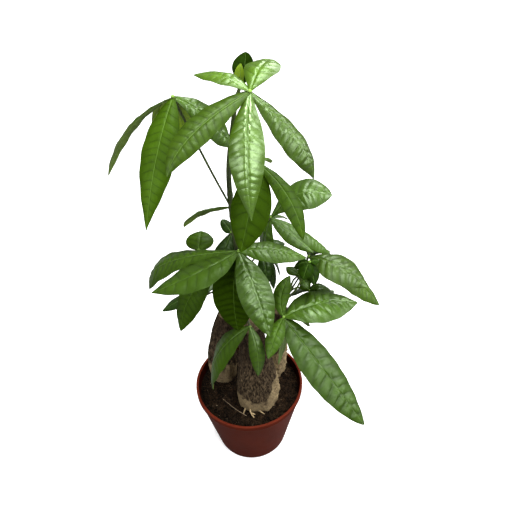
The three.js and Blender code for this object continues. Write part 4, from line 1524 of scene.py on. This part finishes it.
class PLANT_OT_stage(bpy.types.Operator):
    """Sets the camera, the pale floor and the soft lights"""

    bl_idname = "plant.stage"
    bl_label = "Stage"

    def execute(self, context):
        make_stage(settings("money_tree_stage"))
        return {"FINISHED"}


class PLANT_OT_shared_shading(bpy.types.Operator):
    """Makes the shading groups that several surfaces share"""

    bl_idname = "plant.shared_shading"
    bl_label = "Shared Shading"

    def execute(self, context):
        mottle_group()
        vein_group()
        return {"FINISHED"}


class PLANT_OT_pot(bpy.types.Operator):
    """Makes the nursery pot with its lip and drain holes"""

    bl_idname = "plant.pot"
    bl_label = "Pot"

    def execute(self, context):
        make_pot(settings("money_tree_pot"))
        return {"FINISHED"}


class PLANT_OT_soil(bpy.types.Operator):
    """Fills the pot with peat, strewn with crumbs, fibres and chips"""

    bl_idname = "plant.soil"
    bl_label = "Soil"

    def execute(self, context):
        make_soil(settings("money_tree_soil"), settings("money_tree_pot"))
        make_straw(settings("money_tree_soil"))
        return {"FINISHED"}


class PLANT_OT_trunks(bpy.types.Operator):
    """Makes the three swollen trunks with their bark and cut tops"""

    bl_idname = "plant.trunks"
    bl_label = "Trunks"

    def execute(self, context):
        looks = settings("money_tree_trunk")
        materials = [
            bark_material(looks),
            matte_material("trunk_cut", looks.cut, large=150),
            matte_material("trunk_roots", scaled(looks.foot, 1.1), large=120),
        ]
        for seed, (name, sections) in enumerate(TRUNKS.items()):
            make_trunk(name, sections, looks, materials, 3.7 * seed + 1)
        return {"FINISHED"}


class PLANT_OT_shoots(bpy.types.Operator):
    """Makes the shoot that grows from the top of each trunk"""

    bl_idname = "plant.shoots"
    bl_label = "Shoots"

    def execute(self, context):
        looks = settings("money_tree_shoot")
        material = skin_material("shoot_skin", looks.old_skin, looks.young_skin, low=0.2, high=0.5)
        joints = [leaf.petiole[0] for leaf in LEAVES.values()]
        for name, shoot in SHOOTS.items():
            make_shoot(name, shoot, joints, looks, material)
        return {"FINISHED"}


class PLANT_OT_leaves(bpy.types.Operator):
    """Makes the compound leaves, each with its stalk and its leaflets"""

    bl_idname = "plant.leaves"
    bl_label = "Leaves"

    def execute(self, context):
        shoots = settings("money_tree_shoot")
        blades = settings("money_tree_leaf")
        materials = {
            "leaf_" + shade: leaf_material("leaf_" + shade, getattr(blades, shade), blades)
            for shade in ("dark", "mid", "fresh", "pale")
        }
        materials["under"] = underside_material("leaf_underside", blades.under, blades)
        materials["backlit"] = underside_material("leaf_backlit", blades.backlit, blades)
        old, young = shoots.old_skin, shoots.young_skin
        materials["stalk"] = skin_material("stalk_skin", old, young, low=0.22, high=0.42)
        old, young = scaled(shoots.fresh_skin, 0.6), shoots.fresh_skin
        materials["fresh_stalk"] = skin_material("fresh_stalk_skin", old, young, low=0.2, high=0.25)
        fine = {"large": 200, "small": 1100, "roughness": 0.6, "relief": 0.0003}
        materials["hub"] = matte_material("hub_skin", shoots.hub, **fine)
        for seed, (name, leaf) in enumerate(LEAVES.items()):
            make_leaf(name, leaf, shoots, blades, materials, 0.9 * seed + 0.4)
        return {"FINISHED"}


class PLANT_PT_panel(bpy.types.Panel):
    """Lists the plant's pieces and their sizes"""

    bl_idname = "PLANT_PT_panel"
    bl_label = "Money Tree"
    bl_space_type = "VIEW_3D"
    bl_region_type = "UI"
    bl_category = "Money Tree"

    def draw(self, context):
        for operator in OPERATORS:
            self.layout.operator(operator.bl_idname)
        for name, kind in SETTINGS.items():
            column = self.layout.column()
            column.label(text=kind.__name__.replace("Settings", ""))
            for key in kind.__annotations__:
                column.prop(getattr(context.scene, name), key)


OPERATORS = (
    PLANT_OT_shared_shading,
    PLANT_OT_stage,
    PLANT_OT_pot,
    PLANT_OT_soil,
    PLANT_OT_trunks,
    PLANT_OT_shoots,
    PLANT_OT_leaves,
)
CLASSES = (*SETTINGS.values(), *OPERATORS, PLANT_PT_panel)


def register():
    for kind in CLASSES:
        bpy.utils.register_class(kind)
    for name, kind in SETTINGS.items():
        setattr(bpy.types.Scene, name, bpy.props.PointerProperty(type=kind))


def unregister():
    for name in SETTINGS:
        delattr(bpy.types.Scene, name)
    for kind in reversed(CLASSES):
        bpy.utils.unregister_class(kind)


def main():
    register()
    bpy.ops.plant.shared_shading()
    bpy.ops.plant.stage()
    bpy.ops.plant.pot()
    bpy.ops.plant.soil()
    bpy.ops.plant.trunks()
    bpy.ops.plant.shoots()
    bpy.ops.plant.leaves()


if __name__ == "__main__":
    main()
